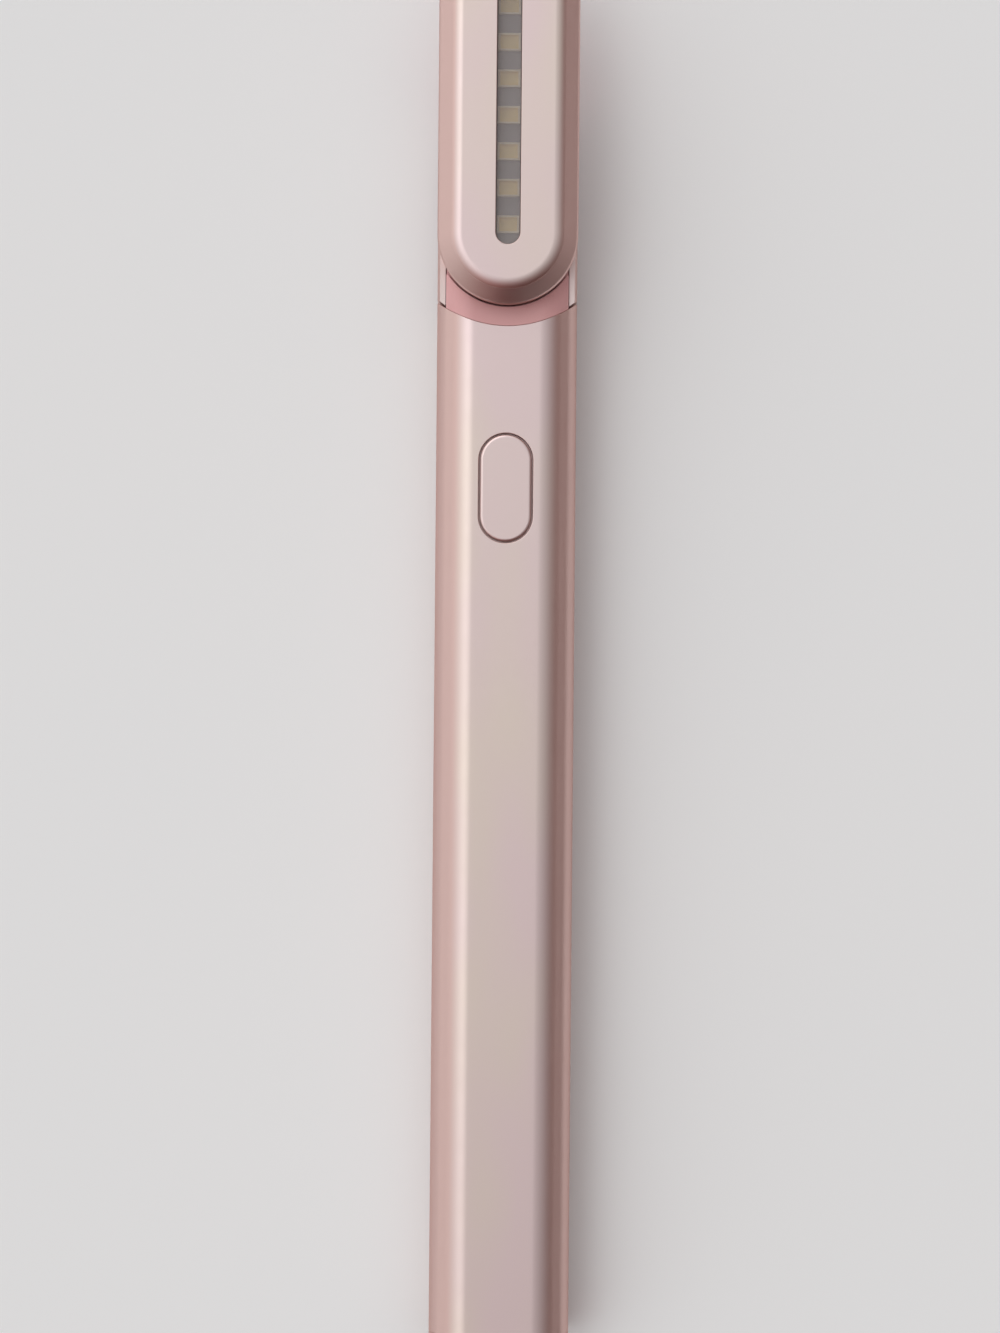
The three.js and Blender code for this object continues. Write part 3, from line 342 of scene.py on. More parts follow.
# %% Skins and pieces
def skin(rings, looped=False):
    """Points and faces of a closed body over the rings. Looped, it runs from the last ring to the first."""
    count = len(rings[0])
    points = [p for ring in rings for p in ring]
    faces = []
    for level in range(len(rings) if looped else len(rings) - 1):
        low, high = level * count, ((level + 1) % len(rings)) * count
        for i in range(count):
            j = (i + 1) % count
            faces.append((low + i, low + j, high + j, high + i))
    if not looped:
        faces.append(tuple(reversed(range(count))))
        faces.append(tuple(range(len(points) - count, len(points))))
    return points, faces


def make(name, *bodies):
    """An object from one or more skinned bodies, in mm."""
    points, faces = [], []
    for body_points, body_faces in bodies:
        faces += [tuple(i + len(points) for i in face) for face in body_faces]
        points += [p * MM for p in body_points]
    mesh = bpy.data.meshes.new(name)
    mesh.from_pydata(points, [], faces)
    mesh.validate()
    work = bmesh.new()
    work.from_mesh(mesh)
    bmesh.ops.recalc_face_normals(work, faces=work.faces)
    work.to_mesh(mesh)
    work.free()
    piece = bpy.data.objects.new(name, mesh)
    bpy.context.scene.collection.objects.link(piece)
    return piece


print("helpers: skin, make")

# %% [markdown]
# Holes and slots are cut with the Boolean modifier. It is applied at once, so the script can go on from the
# finished mesh, and the tool that made the cut is thrown away, like the swarf. A tool starts a little
# outside the piece, by PAST, so that the cut is clean. One that goes right through it reaches to OUTSIDE,
# which is beyond the wand's sides and its top.

# %% Cutting
PAST, OUTSIDE = 1, 20


def keep_result(piece):
    """Applies the piece's modifiers to its mesh."""
    view = bpy.context.evaluated_depsgraph_get()
    mesh = bpy.data.meshes.new_from_object(piece.evaluated_get(view))
    piece.modifiers.clear()
    piece.data = mesh


def cut(piece, *tools, how="DIFFERENCE"):
    """Cuts the piece with each tool, or joins or crosses them, and throws the tools away."""
    for tool in tools:
        knife = piece.modifiers.new("cut", "BOOLEAN")
        knife.operation = how
        knife.solver = "EXACT"
        knife.object = tool
        bpy.context.view_layer.update()
        keep_result(piece)
        bpy.data.objects.remove(tool)
    return piece


def box_tool(x, y, z):
    """A block between low and high values on each axis, in mm."""
    outline = [(x[0], y[0]), (x[1], y[0]), (x[1], y[1]), (x[0], y[1])]
    return make("tool", skin(prism(outline, z[0], z[1], "z")))


def rod_tool(radius, span, axis, at):
    """A rod along an axis through that place, between the low and the high value of its span, in mm."""
    return make("tool", skin(spun([(radius, span[0]), (radius, span[1])], axis=axis, at=at)))


print("helpers: cut, box_tool, rod_tool")

# %% [markdown]
# ## Finishes
#
# Every finish starts from the Principled shader. What is the same all over a surface is typed on the
# shader's own socket. What changes over it comes from noise in the object's own coordinates, which are in
# metres, so a grain of a tenth of a millimetre needs a scale of ten thousand. Noise seldom leaves the
# middle of its range from 0 to 1, so the shades and the sheen are spread over that middle only.

# %% How a finish is mixed
TINT_SPAN, SHEEN_SPAN = (0.35, 0.65), (0.3, 0.7)


def shader_of(material):
    return material.node_tree.nodes["Principled BSDF"]


def finish(name, colour, roughness, metallic=0.0, specular=0.5):
    """A material that is the same all over."""
    material = bpy.data.materials.new(name)
    material.use_nodes = True
    shader = shader_of(material)
    shader.inputs["Base Color"].default_value = (*colour, 1)
    shader.inputs["Roughness"].default_value = roughness
    shader.inputs["Metallic"].default_value = metallic
    shader.inputs["Specular IOR Level"].default_value = specular
    material.diffuse_color = (*colour, 1)
    return material


def noise(material, size_mm, detail=2.0, stretch=(1, 1, 1)):
    """Noise with blotches of that size."""
    tree = material.node_tree
    place = add_node(tree, "ShaderNodeTexCoord")
    scale = add_node(tree, "ShaderNodeMapping")
    scale.inputs["Scale"].default_value = stretch
    texture = add_node(tree, "ShaderNodeTexNoise")
    texture.inputs["Scale"].default_value = 1 / (size_mm * MM)
    texture.inputs["Detail"].default_value = detail
    tree.links.new(place.outputs["Object"], scale.inputs["Vector"])
    tree.links.new(scale.outputs["Vector"], texture.inputs["Vector"])
    return texture.outputs["Fac"]


print("helpers: shader_of, finish, noise")

# %% What drifts over a surface
def tint(material, one, other, size_mm, detail=2.0, stretch=(1, 1, 1)):
    """Lets the colour drift between two shades."""
    tree = material.node_tree
    ramp = add_node(tree, "ShaderNodeValToRGB")
    for stop, position, shade in zip(ramp.color_ramp.elements, TINT_SPAN, (one, other)):
        stop.position = position
        stop.color = (*shade, 1)
    tree.links.new(noise(material, size_mm, detail, stretch), ramp.inputs["Fac"])
    tree.links.new(ramp.outputs["Color"], shader_of(material).inputs["Base Color"])
    return ramp


def sheen(material, low, high, size_mm, detail=3.0, stretch=(1, 1, 1)):
    """Lets the roughness drift between two values."""
    tree = material.node_tree
    spread = add_node(tree, "ShaderNodeMapRange")
    for socket, value in zip(("From Min", "From Max", "To Min", "To Max"), (*SHEEN_SPAN, low, high)):
        spread.inputs[socket].default_value = value
    tree.links.new(noise(material, size_mm, detail, stretch), spread.inputs["Value"])
    tree.links.new(spread.outputs["Result"], shader_of(material).inputs["Roughness"])


def grain(material, size_mm, depth_mm, strength=1.0, stretch=(1, 1, 1)):
    """Raises a fine grain of that size and depth."""
    tree = material.node_tree
    bump = add_node(tree, "ShaderNodeBump")
    bump.inputs["Strength"].default_value = strength
    bump.inputs["Distance"].default_value = depth_mm * MM
    tree.links.new(noise(material, size_mm, stretch=stretch), bump.inputs["Height"])
    tree.links.new(bump.outputs["Normal"], shader_of(material).inputs["Normal"])


finishes = {}
print("helpers: tint, sheen, grain")

# %% [markdown]
# The handle, the head and the plate are aluminium that was blasted with fine beads and then dyed in the
# anodising bath. The dyeing isn't even: the colour drifts between a beige and a pink over a centimetre or
# two. The sloping faces get a darker, redder pink of their own, which is painted shade for how the light
# falls on them. At a low angle the dyed metal looks darker and redder, which the shader's Specular Tint
# gives. The blasting leaves pits of about a tenth of a millimetre, far too shallow to feel.
#
# A slope is told from a flat by the height of its normal in the object's own frame, so the painted shade
# is fixed to a place on the piece and doesn't change with the view.

# %% Rose anodised aluminium
SLOPE_NORMAL, FLAT_NORMAL = 0.80, 0.985
EDGE_TINT = (0.78, 0.64, 0.61)


def anodised(name, beige, violet, slope_shade, rough):
    """Dyed metal whose flats drift between two shades, with a painted shade on its sloping faces."""
    material = finish(name, beige, rough, metallic=1.0)
    shader = shader_of(material)
    shader.inputs["Specular Tint"].default_value = (*EDGE_TINT, 1)
    tree = material.node_tree
    flats = tint(material, beige, violet, size_mm=15, detail=1.0, stretch=(1.6, 0.6, 1))
    # Painted shade: the sloping faces get a third colour, mixed in by how far the normal tilts from Z.
    facing = add_node(tree, "ShaderNodeTexCoord")
    axes = add_node(tree, "ShaderNodeSeparateXYZ")
    height = add_node(tree, "ShaderNodeMath", operation="ABSOLUTE")
    flatness = add_node(tree, "ShaderNodeMapRange", interpolation_type="SMOOTHSTEP")
    flatness.inputs["From Min"].default_value = SLOPE_NORMAL
    flatness.inputs["From Max"].default_value = FLAT_NORMAL
    slope_shade_mix = add_node(tree, "ShaderNodeMix", data_type="RGBA")
    slope_shade_mix.inputs["A"].default_value = (*slope_shade, 1)
    tree.links.new(facing.outputs["Normal"], axes.inputs["Vector"])
    tree.links.new(axes.outputs["Z"], height.inputs[0])
    tree.links.new(height.outputs["Value"], flatness.inputs["Value"])
    tree.links.new(flatness.outputs["Result"], slope_shade_mix.inputs["Factor"])
    tree.links.new(flats.outputs["Color"], slope_shade_mix.inputs["B"])
    tree.links.new(slope_shade_mix.outputs["Result"], shader.inputs["Base Color"])
    sheen(material, rough - 0.01, rough + 0.02, size_mm=2.5)
    grain(material, size_mm=0.11, depth_mm=0.004, strength=0.5)
    return material


# The third colour of each metal is the painted shade of its sloping faces.
finishes["rose_metal"] = anodised(
    "rose_anodised",
    beige=(0.70, 0.605, 0.550), violet=(0.70, 0.575, 0.575), slope_shade=(0.72, 0.515, 0.480), rough=0.38,
)
finishes["bright_metal"] = anodised(
    "pale_rose_anodised",
    beige=(0.715, 0.615, 0.575), violet=(0.715, 0.595, 0.585), slope_shade=(0.73, 0.55, 0.52), rough=0.36,
)
button_metal = anodised(
    "button_anodised",
    beige=(0.70, 0.585, 0.565), violet=(0.70, 0.575, 0.57), slope_shade=(0.72, 0.54, 0.52), rough=0.36,
)
print("metals:", *[m.name for m in bpy.data.materials if "anodised" in m.name])

# %% [markdown]
# The neck and the back cover are moulded in a pink plastic, dyed to go with the metal. The mould was
# spark-eroded, which leaves a fine even grain.

# %% Moulded pink plastic
pink = finish("pink_moulding", (0.73, 0.40, 0.405), 0.48)
tint(pink, (0.725, 0.395, 0.40), (0.74, 0.415, 0.415), size_mm=9)
sheen(pink, 0.44, 0.54, size_mm=1.2)
grain(pink, size_mm=0.16, depth_mm=0.006, strength=0.5)
finishes["pink_plastic"] = pink
print("plastic:", pink.name)

# %% [markdown]
# The window is smoked plastic with a milky haze: nearly a third of what is seen is the haze, and the rest
# is the lamps and their board below. Alpha does that with little noise, because light passes straight
# through the clear share.

# %% Smoked window
HAZE = 0.30
smoked = finish("smoked_plastic", (0.53, 0.50, 0.49), 0.22)
tint(smoked, (0.52, 0.49, 0.48), (0.54, 0.51, 0.50), size_mm=3)
shader_of(smoked).inputs["Alpha"].default_value = HAZE
grain(smoked, size_mm=0.5, depth_mm=0.002, strength=0.4)
finishes["smoked_window"] = smoked
print("window:", smoked.name)

# %% [markdown]
# A lamp is a pale plastic case with a shallow dish of yellow phosphor in it. Generated coordinates run from
# 0 to 1 over each lamp's own box. So one material can colour the middle yellow and leave the rim pale on
# all seven: it goes by how far a point is from the middle, across or along, whichever is more.

# %% Phosphor in a pale case
PHOSPHOR, CASE = (0.95, 0.76, 0.30), (0.90, 0.82, 0.62)
DISH_EDGE = (0.38, 0.42)
lamp = finish("lamp_phosphor", (0.80, 0.62, 0.20), 0.45)
lamp_tree = lamp.node_tree
place = add_node(lamp_tree, "ShaderNodeTexCoord")
centred = add_node(lamp_tree, "ShaderNodeVectorMath", operation="SUBTRACT")
centred.inputs[1].default_value = (0.5, 0.5, 0.5)
offset = add_node(lamp_tree, "ShaderNodeVectorMath", operation="ABSOLUTE")
sides = add_node(lamp_tree, "ShaderNodeSeparateXYZ")
widest = add_node(lamp_tree, "ShaderNodeMath", operation="MAXIMUM")
dish = add_node(lamp_tree, "ShaderNodeValToRGB")
for stop, position, shade in zip(dish.color_ramp.elements, DISH_EDGE, (PHOSPHOR, CASE)):
    stop.position = position
    stop.color = (*shade, 1)
for source, target in (
    (place.outputs["Generated"], centred.inputs[0]),
    (centred.outputs["Vector"], offset.inputs[0]),
    (offset.outputs["Vector"], sides.inputs["Vector"]),
    (sides.outputs["X"], widest.inputs[0]),
    (sides.outputs["Y"], widest.inputs[1]),
    (widest.outputs["Value"], dish.inputs["Fac"]),
    (dish.outputs["Color"], shader_of(lamp).inputs["Base Color"]),
):
    lamp_tree.links.new(source, target)
grain(lamp, size_mm=0.08, depth_mm=0.004, strength=0.6)
finishes["lamp"] = lamp
print("lamp:", lamp.name)

# %% [markdown]
# The small hardware is plain: zinc-plated steel with faint turning marks, copper alloy with a warm drift,
# and grey rubber that is dull and slightly mottled.

# %% Steel, copper and rubber
steel = finish("zinc_steel", (0.55, 0.55, 0.57), 0.32, metallic=1.0)
tint(steel, (0.52, 0.52, 0.54), (0.62, 0.62, 0.63), size_mm=1.5)
sheen(steel, 0.26, 0.42, size_mm=0.8)
grain(steel, size_mm=0.09, depth_mm=0.004, strength=0.5, stretch=(1, 6, 1))
finishes["steel"] = steel

copper = finish("copper_alloy", (0.62, 0.36, 0.20), 0.36, metallic=1.0)
tint(copper, (0.66, 0.38, 0.21), (0.54, 0.30, 0.18), size_mm=2)
sheen(copper, 0.30, 0.46, size_mm=0.9)
grain(copper, size_mm=0.12, depth_mm=0.004, strength=0.5)
finishes["copper"] = copper

rubber = finish("soft_rubber", (0.07, 0.06, 0.065), 0.80, specular=0.3)
tint(rubber, (0.06, 0.05, 0.055), (0.085, 0.075, 0.08), size_mm=1.5)
grain(rubber, size_mm=0.15, depth_mm=0.012, strength=0.7)
finishes["soft_rubber"] = rubber

clear_seal = finish("clear_silicone", (0.50, 0.38, 0.36), 0.35)
tint(clear_seal, (0.49, 0.37, 0.35), (0.52, 0.40, 0.38), size_mm=2)
grain(clear_seal, size_mm=0.2, depth_mm=0.004, strength=0.4)
print("hardware:", steel.name, copper.name, rubber.name, clear_seal.name)

# %% [markdown]
# Inside are circuit boards, mouldings, a wrapped cell and three wires. They can't be seen in the picture,
# but someone may open the wand, so each has the finish of the real thing. A board's mask shows the weave of
# the glass cloth below it as a faint crossing of lines, which two stretched noises give.

# %% Boards and mouldings
def board(name, dark, light):
    """Glass cloth under a coloured mask."""
    material = finish(name, dark, 0.35)
    tint(material, dark, light, size_mm=0.6, detail=1.0, stretch=(1, 3, 1))
    sheen(material, 0.28, 0.45, size_mm=1.0)
    grain(material, size_mm=0.3, depth_mm=0.010, strength=0.6, stretch=(3, 1, 1))
    return material


def moulding(name, dark, light, rough):
    """Plain moulded plastic with a fine grain."""
    material = finish(name, dark, rough)
    tint(material, dark, light, size_mm=4)
    sheen(material, rough - 0.05, rough + 0.07, size_mm=1.5)
    grain(material, size_mm=0.18, depth_mm=0.008, strength=0.6)
    return material


finishes["board_green"] = board("green_board", (0.020, 0.115, 0.055), (0.030, 0.150, 0.075))
finishes["board_white"] = board("lamp_board", (0.19, 0.19, 0.225), (0.21, 0.21, 0.245))
finishes["dark_plastic"] = moulding("black_moulding", (0.018, 0.018, 0.020), (0.030, 0.030, 0.033), 0.5)
finishes["pale_plastic"] = moulding("natural_moulding", (0.62, 0.60, 0.55), (0.70, 0.68, 0.63), 0.5)
print("inside:", *sorted(k for k in finishes if "board" in k or "plastic" in k))

# %% Cell wrap and wires
wrap = finish("shrink_wrap", (0.045, 0.160, 0.400), 0.28)
tint(wrap, (0.040, 0.150, 0.380), (0.060, 0.190, 0.450), size_mm=8)
sheen(wrap, 0.22, 0.36, size_mm=3, detail=2.0, stretch=(1, 4, 1))
grain(wrap, size_mm=1.6, depth_mm=0.030, strength=0.5, stretch=(1, 5, 1))
finishes["cell_wrap"] = wrap

for slot_name, dark, light in (
    ("wire_red", (0.42, 0.030, 0.025), (0.50, 0.050, 0.040)),
    ("wire_black", (0.014, 0.014, 0.015), (0.028, 0.028, 0.030)),
    ("wire_yellow", (0.62, 0.42, 0.040), (0.70, 0.50, 0.070)),
):
    sleeve = finish(slot_name + "_sleeve", dark, 0.42)
    tint(sleeve, dark, light, size_mm=2.5)
    sheen(sleeve, 0.36, 0.50, size_mm=1.0)
    grain(sleeve, size_mm=0.25, depth_mm=0.006, strength=0.5)
    finishes[slot_name] = sleeve
print(len(finishes), "finishes")

# %% [markdown]
# ## Dressing the pieces
#
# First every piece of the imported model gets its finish. A new piece that looks finer then takes the place
# of its CAD piece: it moves with the same body, and the CAD piece is hidden but still counts for
# collisions. Smooth shading with weighted normals keeps the flats flat and lets only the small rounds bend
# the light.

# %% Give every CAD piece its finish
slot_of = {entry["node"]: entry["material_slot"] for entry in frame["record"]["subparts"]}
for name, node in frame["nodes"].items():
    node.data.materials.clear()
    node.data.materials.append(clear_seal if name == "plate_gasket" else finishes[slot_of[name]])
print(len(slot_of), "pieces have a finish")

# %% Take the place of a CAD piece
SHARP_ANGLE = 38


def dress(piece, node, material=None):
    """The piece takes the place of the CAD node, with its body and its finish."""
    piece.data.shade_smooth()
    piece.data.set_sharp_from_angle(angle=math.radians(SHARP_ANGLE))
    level = piece.modifiers.new("flats", "WEIGHTED_NORMAL")
    level.keep_sharp = True
    piece.data.materials.clear()
    piece.data.materials.append(material or finishes[slot_of[node]])
    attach(piece, body_of(frame["nodes"][node])[0])
    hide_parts(node)
    low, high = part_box(node)
    measured = " x ".join(f"{v / MM:.1f}" for v in high - low)
    print(f"{piece.name}: {len(piece.data.polygons)} faces, in place of {node}, {measured} mm")
    return piece


def soften(piece, width_mm, limit, segments):
    """Rounds every edge that turns by more than the limit, in degrees."""
    edge = piece.modifiers.new("edges", "BEVEL")
    edge.width = width_mm * MM
    edge.segments = segments
    edge.limit_method = "ANGLE"
    edge.angle_limit = math.radians(limit)
    keep_result(piece)
    return piece


print("helpers: dress, soften")

# %% [markdown]
# ## The handle
#
# The tube is drawn aluminium with eight sides: flats above and below, upright sides, and four sloping
# facets. The ridges beside the flats have a round of 4 mm, which is the bright line on the left in the
# picture, and the facets run into the sides with nearly as soft a round. The front is cut to an arc that
# goes round the end of the head.

# %% The handle's section
def in_mm(box):
    """The lowest and the highest corner of a box, in millimetres."""
    return [corner / MM for corner in box]


tube_low, tube_high = in_mm(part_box("handle_tube"))
half_width, half_thick = tube_high.x, (tube_high.z - tube_low.z) / 2
FLAT_HALF, FACET_DROP = 5.45, 2.7
RIDGE, SIDE, LEAST_ROUND = 4.0, 3.5, 0.5
facet_run = half_width - FLAT_HALF
slope = math.hypot(facet_run, FACET_DROP)


def handle_section(inset):
    """The outline across the handle, moved inwards by an inset, as x and z."""
    side_x, top_z = half_width - inset, half_thick - inset
    flat_x = FLAT_HALF - inset * (slope - facet_run) / FACET_DROP
    side_z = half_thick - FACET_DROP - inset * (slope - FACET_DROP) / facet_run
    ridge, side = max(RIDGE - inset, LEAST_ROUND), max(SIDE - inset, LEAST_ROUND)
    corners = [
        (side_x, -side_z, side), (side_x, side_z, side), (flat_x, top_z, ridge), (-flat_x, top_z, ridge),
        (-side_x, side_z, side), (-side_x, -side_z, side), (-flat_x, -top_z, ridge), (flat_x, -top_z, ridge),
    ]
    return [(x, half_thick + z) for x, z in rounded(corners, steps=14, fill=14)]


print("half width", half_width, "- each facet runs", round(facet_run, 2), "mm in plan")

# %% The tube, with its front cut to an arc
ARC, WALL, EDGE = 13.6, 0.95, 0.08
arc_y = tube_high.y + math.sqrt(ARC**2 - half_width**2)
seam_y = tube_low.y


def front_at(x):
    """Where the tube's front is, at that distance from the middle."""
    return arc_y - math.sqrt(max(ARC**2 - x * x, 0))


def tube_ring(inset, from_rear=None, from_front=None):
    """The section as a ring, so far from the tube's rear end or from its hollow front."""
    ring = []
    for x, z in handle_section(inset):
        y = seam_y + from_rear if from_rear is not None else front_at(x) - from_front
        ring.append(Vector((x, y, z)))
    return ring


edge = edge_round(EDGE, EDGE, range(0, 91, 30))
tube_rings = [tube_ring(inset, from_rear=back) for inset, back in edge]
tube_rings += [tube_ring(inset, from_front=back) for inset, back in reversed(edge)]
tube_rings += [tube_ring(WALL, from_front=0), tube_ring(WALL, from_rear=0)]
tube = make("handle_skin", skin(tube_rings, looped=True))
print("the front is at", round(front_at(0), 2), "in the middle and", round(tube_high.y, 2), "at the sides")

# %% [markdown]
# The button's hole is milled through the top flat. The cutter is a stadium that starts in the tube's hollow
# and flares at the top, so the hole gets a small round on its rim in the same cut.

# %% The button's hole
button_low, button_high = in_mm(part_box("power_button"))
button_y = (button_low.y + button_high.y) / 2
BUTTON_R, BUTTON_STRAIGHT, BUTTON_SEAM, RIM = 3.1, 3.35, 0.19, 0.10
top_z = tube_high.z
hole_r = BUTTON_R + BUTTON_SEAM
flare = [(hole_r, half_thick + PAST), (hole_r, top_z - RIM)]
flare += [(hole_r + back, top_z - down) for down, back in edge_round(RIM, RIM, range(30, 91, 30))]
flare += [(hole_r + RIM, top_z + PAST)]
cut(tube, make("tool", skin(spun(flare, BUTTON_STRAIGHT, at=(0, button_y, 0)))))
dress(tube, "handle_tube")

# %% [markdown]
# The cap of the button stands a tenth of a millimetre proud, with a crowned edge that catches the light on
# its left side. A lip under the tube's wall holds it in, and a nub below presses the switch.

# %% The button
LIP_GAP, LIP_THICK, LIP_BEVEL = 0.1, 0.8, 0.1
NUB_R, NUB_BEVEL = 1.3, 0.1
CAP_EDGE_RUN, CAP_EDGE_DROP = 0.34, 0.24
cap_top, nub_low, lip_r = button_high.z, button_low.z, button_high.x
lip_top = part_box("button_gasket")[0].z / MM - LIP_GAP
lip_low = lip_top - LIP_THICK
cap_edge = edge_round(CAP_EDGE_DROP, CAP_EDGE_RUN, (*range(0, 90, 12), 90))
cap_profile = [
    (NUB_R, lip_low),
    (lip_r - LIP_BEVEL, lip_low),
    (lip_r, lip_low + LIP_BEVEL),
    (lip_r, lip_top),
    (BUTTON_R, lip_top),
    *((BUTTON_R - back, cap_top - down) for down, back in cap_edge),
]
nub_profile = [(NUB_R - NUB_BEVEL, nub_low), (NUB_R, nub_low + NUB_BEVEL), (NUB_R, lip_top)]
button = make(
    "button_cap",
    skin(spun(cap_profile, BUTTON_STRAIGHT, at=(0, button_y, 0))),
    skin(spun(nub_profile, at=(0, button_y, 0))),
)
dress(button, "power_button", button_metal)

# %% [markdown]
# ## The butt end
#
# The end cap is out of the picture. It closes the tube with a flange, has a plug that centres it, a port
# for the charging plug, and two screws in recesses.

# %% The end cap
cap_low, cap_high = in_mm(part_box("end_cap"))
END_ROUND, PLUG_INSET, PLUG_LEAD = 0.5, 1.1, 0.2
FLANGE_SEAM, FLANGE_BEVEL, FLANGE_BEVEL_RUN = 0.03, 0.1, 0.11


def cap_ring(inset, y):
    """The handle's section as a flat ring at that place along the wand."""
    return [Vector((x, y, z)) for x, z in handle_section(inset)]


flange_y = seam_y - FLANGE_SEAM
bend = edge_round(END_ROUND, END_ROUND, range(0, 91, 18))
cap_rings = [cap_ring(inset, cap_low.y + back) for inset, back in bend]
cap_rings += [
    cap_ring(0, flange_y - FLANGE_BEVEL_RUN),
    cap_ring(FLANGE_BEVEL, flange_y),
    cap_ring(PLUG_INSET, flange_y),
    cap_ring(PLUG_INSET, cap_high.y - PLUG_LEAD),
    cap_ring(PLUG_INSET + PLUG_LEAD, cap_high.y),
]
cap = make("end_cap_skin", skin(cap_rings))
print("the end cap has", len(cap_rings), "rings")

# %% The port and the bay behind it
socket_low, socket_high = in_mm(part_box("usb_shell"))
PORT_SEAM, PORT_FLARE, PORT_LIP, PORT_DEPTH = 0.12, 0.2, 0.06, 2
CAP_FACE, BAY_HALF, BAY_GAP = 1, 5.0, 0.2
socket_z = (socket_low.z + socket_high.z) / 2
socket_r = (socket_high.z - socket_low.z) / 2
socket_straight = socket_high.x - socket_r
port_r = socket_r + PORT_SEAM
port = [
    (port_r + PORT_FLARE, cap_low.y - PAST),
    (port_r + PORT_FLARE, cap_low.y),
    (port_r + PORT_LIP, cap_low.y + PORT_LIP),
    (port_r, cap_low.y + PORT_FLARE),
    (port_r, cap_low.y + PORT_DEPTH),
]
cut(cap, make("tool", skin(spun(port, socket_straight, "y", (0, 0, socket_z)))))
bay_z = (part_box("charge_board")[0].z / MM - BAY_GAP, socket_high.z + BAY_GAP)
cut(cap, box_tool((-BAY_HALF, BAY_HALF), (cap_low.y + CAP_FACE, cap_high.y + PAST), bay_z))
print("the port is", round(2 * port_r, 2), "mm high and", round(2 * (port_r + socket_straight), 2), "mm wide")

# %% [markdown]
# All the screws that can be seen have a cheese head with a straight slot and a softened rim. One maker
# serves them all: it turns a screw along Z and then carries it to its place.

# %% A maker for screws
def screw(node, head_r, head_h, shank_r, shank_l, at, axis, turned=1):
    """A screw whose head's underside is at that place, in mm, and points along plus or minus the axis."""
    bevel, slot_half, slot_floor = head_h / 5, head_r / 8, head_h / 2
    outline = [(shank_r - bevel / 2, -shank_l), (shank_r, bevel - shank_l), (shank_r, 0), (head_r, 0)]
    outline += [(head_r, head_h - bevel), (head_r - bevel / 3, head_h - bevel / 3), (head_r - bevel, head_h)]
    body = make(node + "_turned", skin(spun(outline, steps=20)))
    cut(body, box_tool((-head_r - PAST, head_r + PAST), (-slot_half, slot_half), (slot_floor, head_h + PAST)))
    for point in body.data.vertices:
        x, y, z = point.co
        point.co = Vector(TURNS[axis](x * turned, y, z * turned)) + Vector(at) * MM
    return dress(body, node)


END_SCREW_R, END_SCREW_H, END_SHANK_R = 0.95, 0.38, 0.5
END_BORE_R, END_RECESS_R, END_RECESS = 0.7, 1.1, 0.5
for node in ("end_screw_lower", "end_screw_upper"):
    low, high = in_mm(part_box(node))
    z = (low.z + high.z) / 2
    under_head = low.y + END_SCREW_H
    cut(cap, rod_tool(END_BORE_R, (cap_low.y - PAST, cap_high.y + PAST), "y", (0, 0, z)))
    cut(cap, rod_tool(END_RECESS_R, (cap_low.y - PAST, cap_low.y + END_RECESS), "y", (0, 0, z)))
    screw(node, END_SCREW_R, END_SCREW_H, END_SHANK_R, high.y - under_head, (0, under_head, z), "y", -1)
dress(cap, "end_cap")

# %% [markdown]
# ## The neck
#
# The neck is a moulding that plugs the tube, carries the handle's section on up to the round end of the
# head, and forks round the hinge below it. Its sides are covered by two metal plates, which are the pale
# strips beside the head in the picture. The dark line along each strip is the seam between plate and
# moulding.
#
# Some of the tools that shape the neck go well past it. They start at BELOW under the floor, or end at
# BAR_END or FORK_END, which are places along the wand ahead of the neck.

# %% The neck's shapes
pin_low, pin_high = in_mm(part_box("hinge_pin_right"))
hinge_y, hinge_z = (pin_low.y + pin_high.y) / 2, (pin_low.z + pin_high.z) / 2
neck_low, neck_high = in_mm(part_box("neck_bridge"))
plate_low, plate_high = in_mm(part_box("neck_side_plate_right"))
neck_r, plate_r = neck_high.y - hinge_y, plate_high.y - hinge_y
NECK_ROOT, BELOW, BAR_END, FORK_END = 3, 5, 80, 90
inner_front = front_at(0) - NECK_ROOT
hinge, through = (0, hinge_y, hinge_z), (-OUTSIDE, OUTSIDE)


def neck_outline(radius):
    """The side view of the neck: a bar that ends in a half round on the hinge."""
    half_round = arc_points(hinge_y, hinge_z, radius, -90, 180, 32)
    return [(inner_front, hinge_z - radius), *half_round, (inner_front, hinge_z + radius)]


def behind_front(gap):
    """What lies behind the tube's front, moved forward by a gap: a block with a hollow round end."""
    hollow = arc_points(0, arc_y, ARC - gap, -10, -160, 60)
    outline = [(-OUTSIDE, inner_front - OUTSIDE), (OUTSIDE, inner_front - OUTSIDE), *hollow]
    return make("tool", skin(prism(outline, -BELOW, OUTSIDE, "z")))


def handle_bar_tool(inset, low, high):
    """A bar with the handle's section, between two places along the wand."""
    return make("tool", skin([cap_ring(inset, low), cap_ring(inset, high)]))


print("the hinge is at", round(hinge_y, 2), round(hinge_z, 2), "- neck radius", round(neck_r, 2))

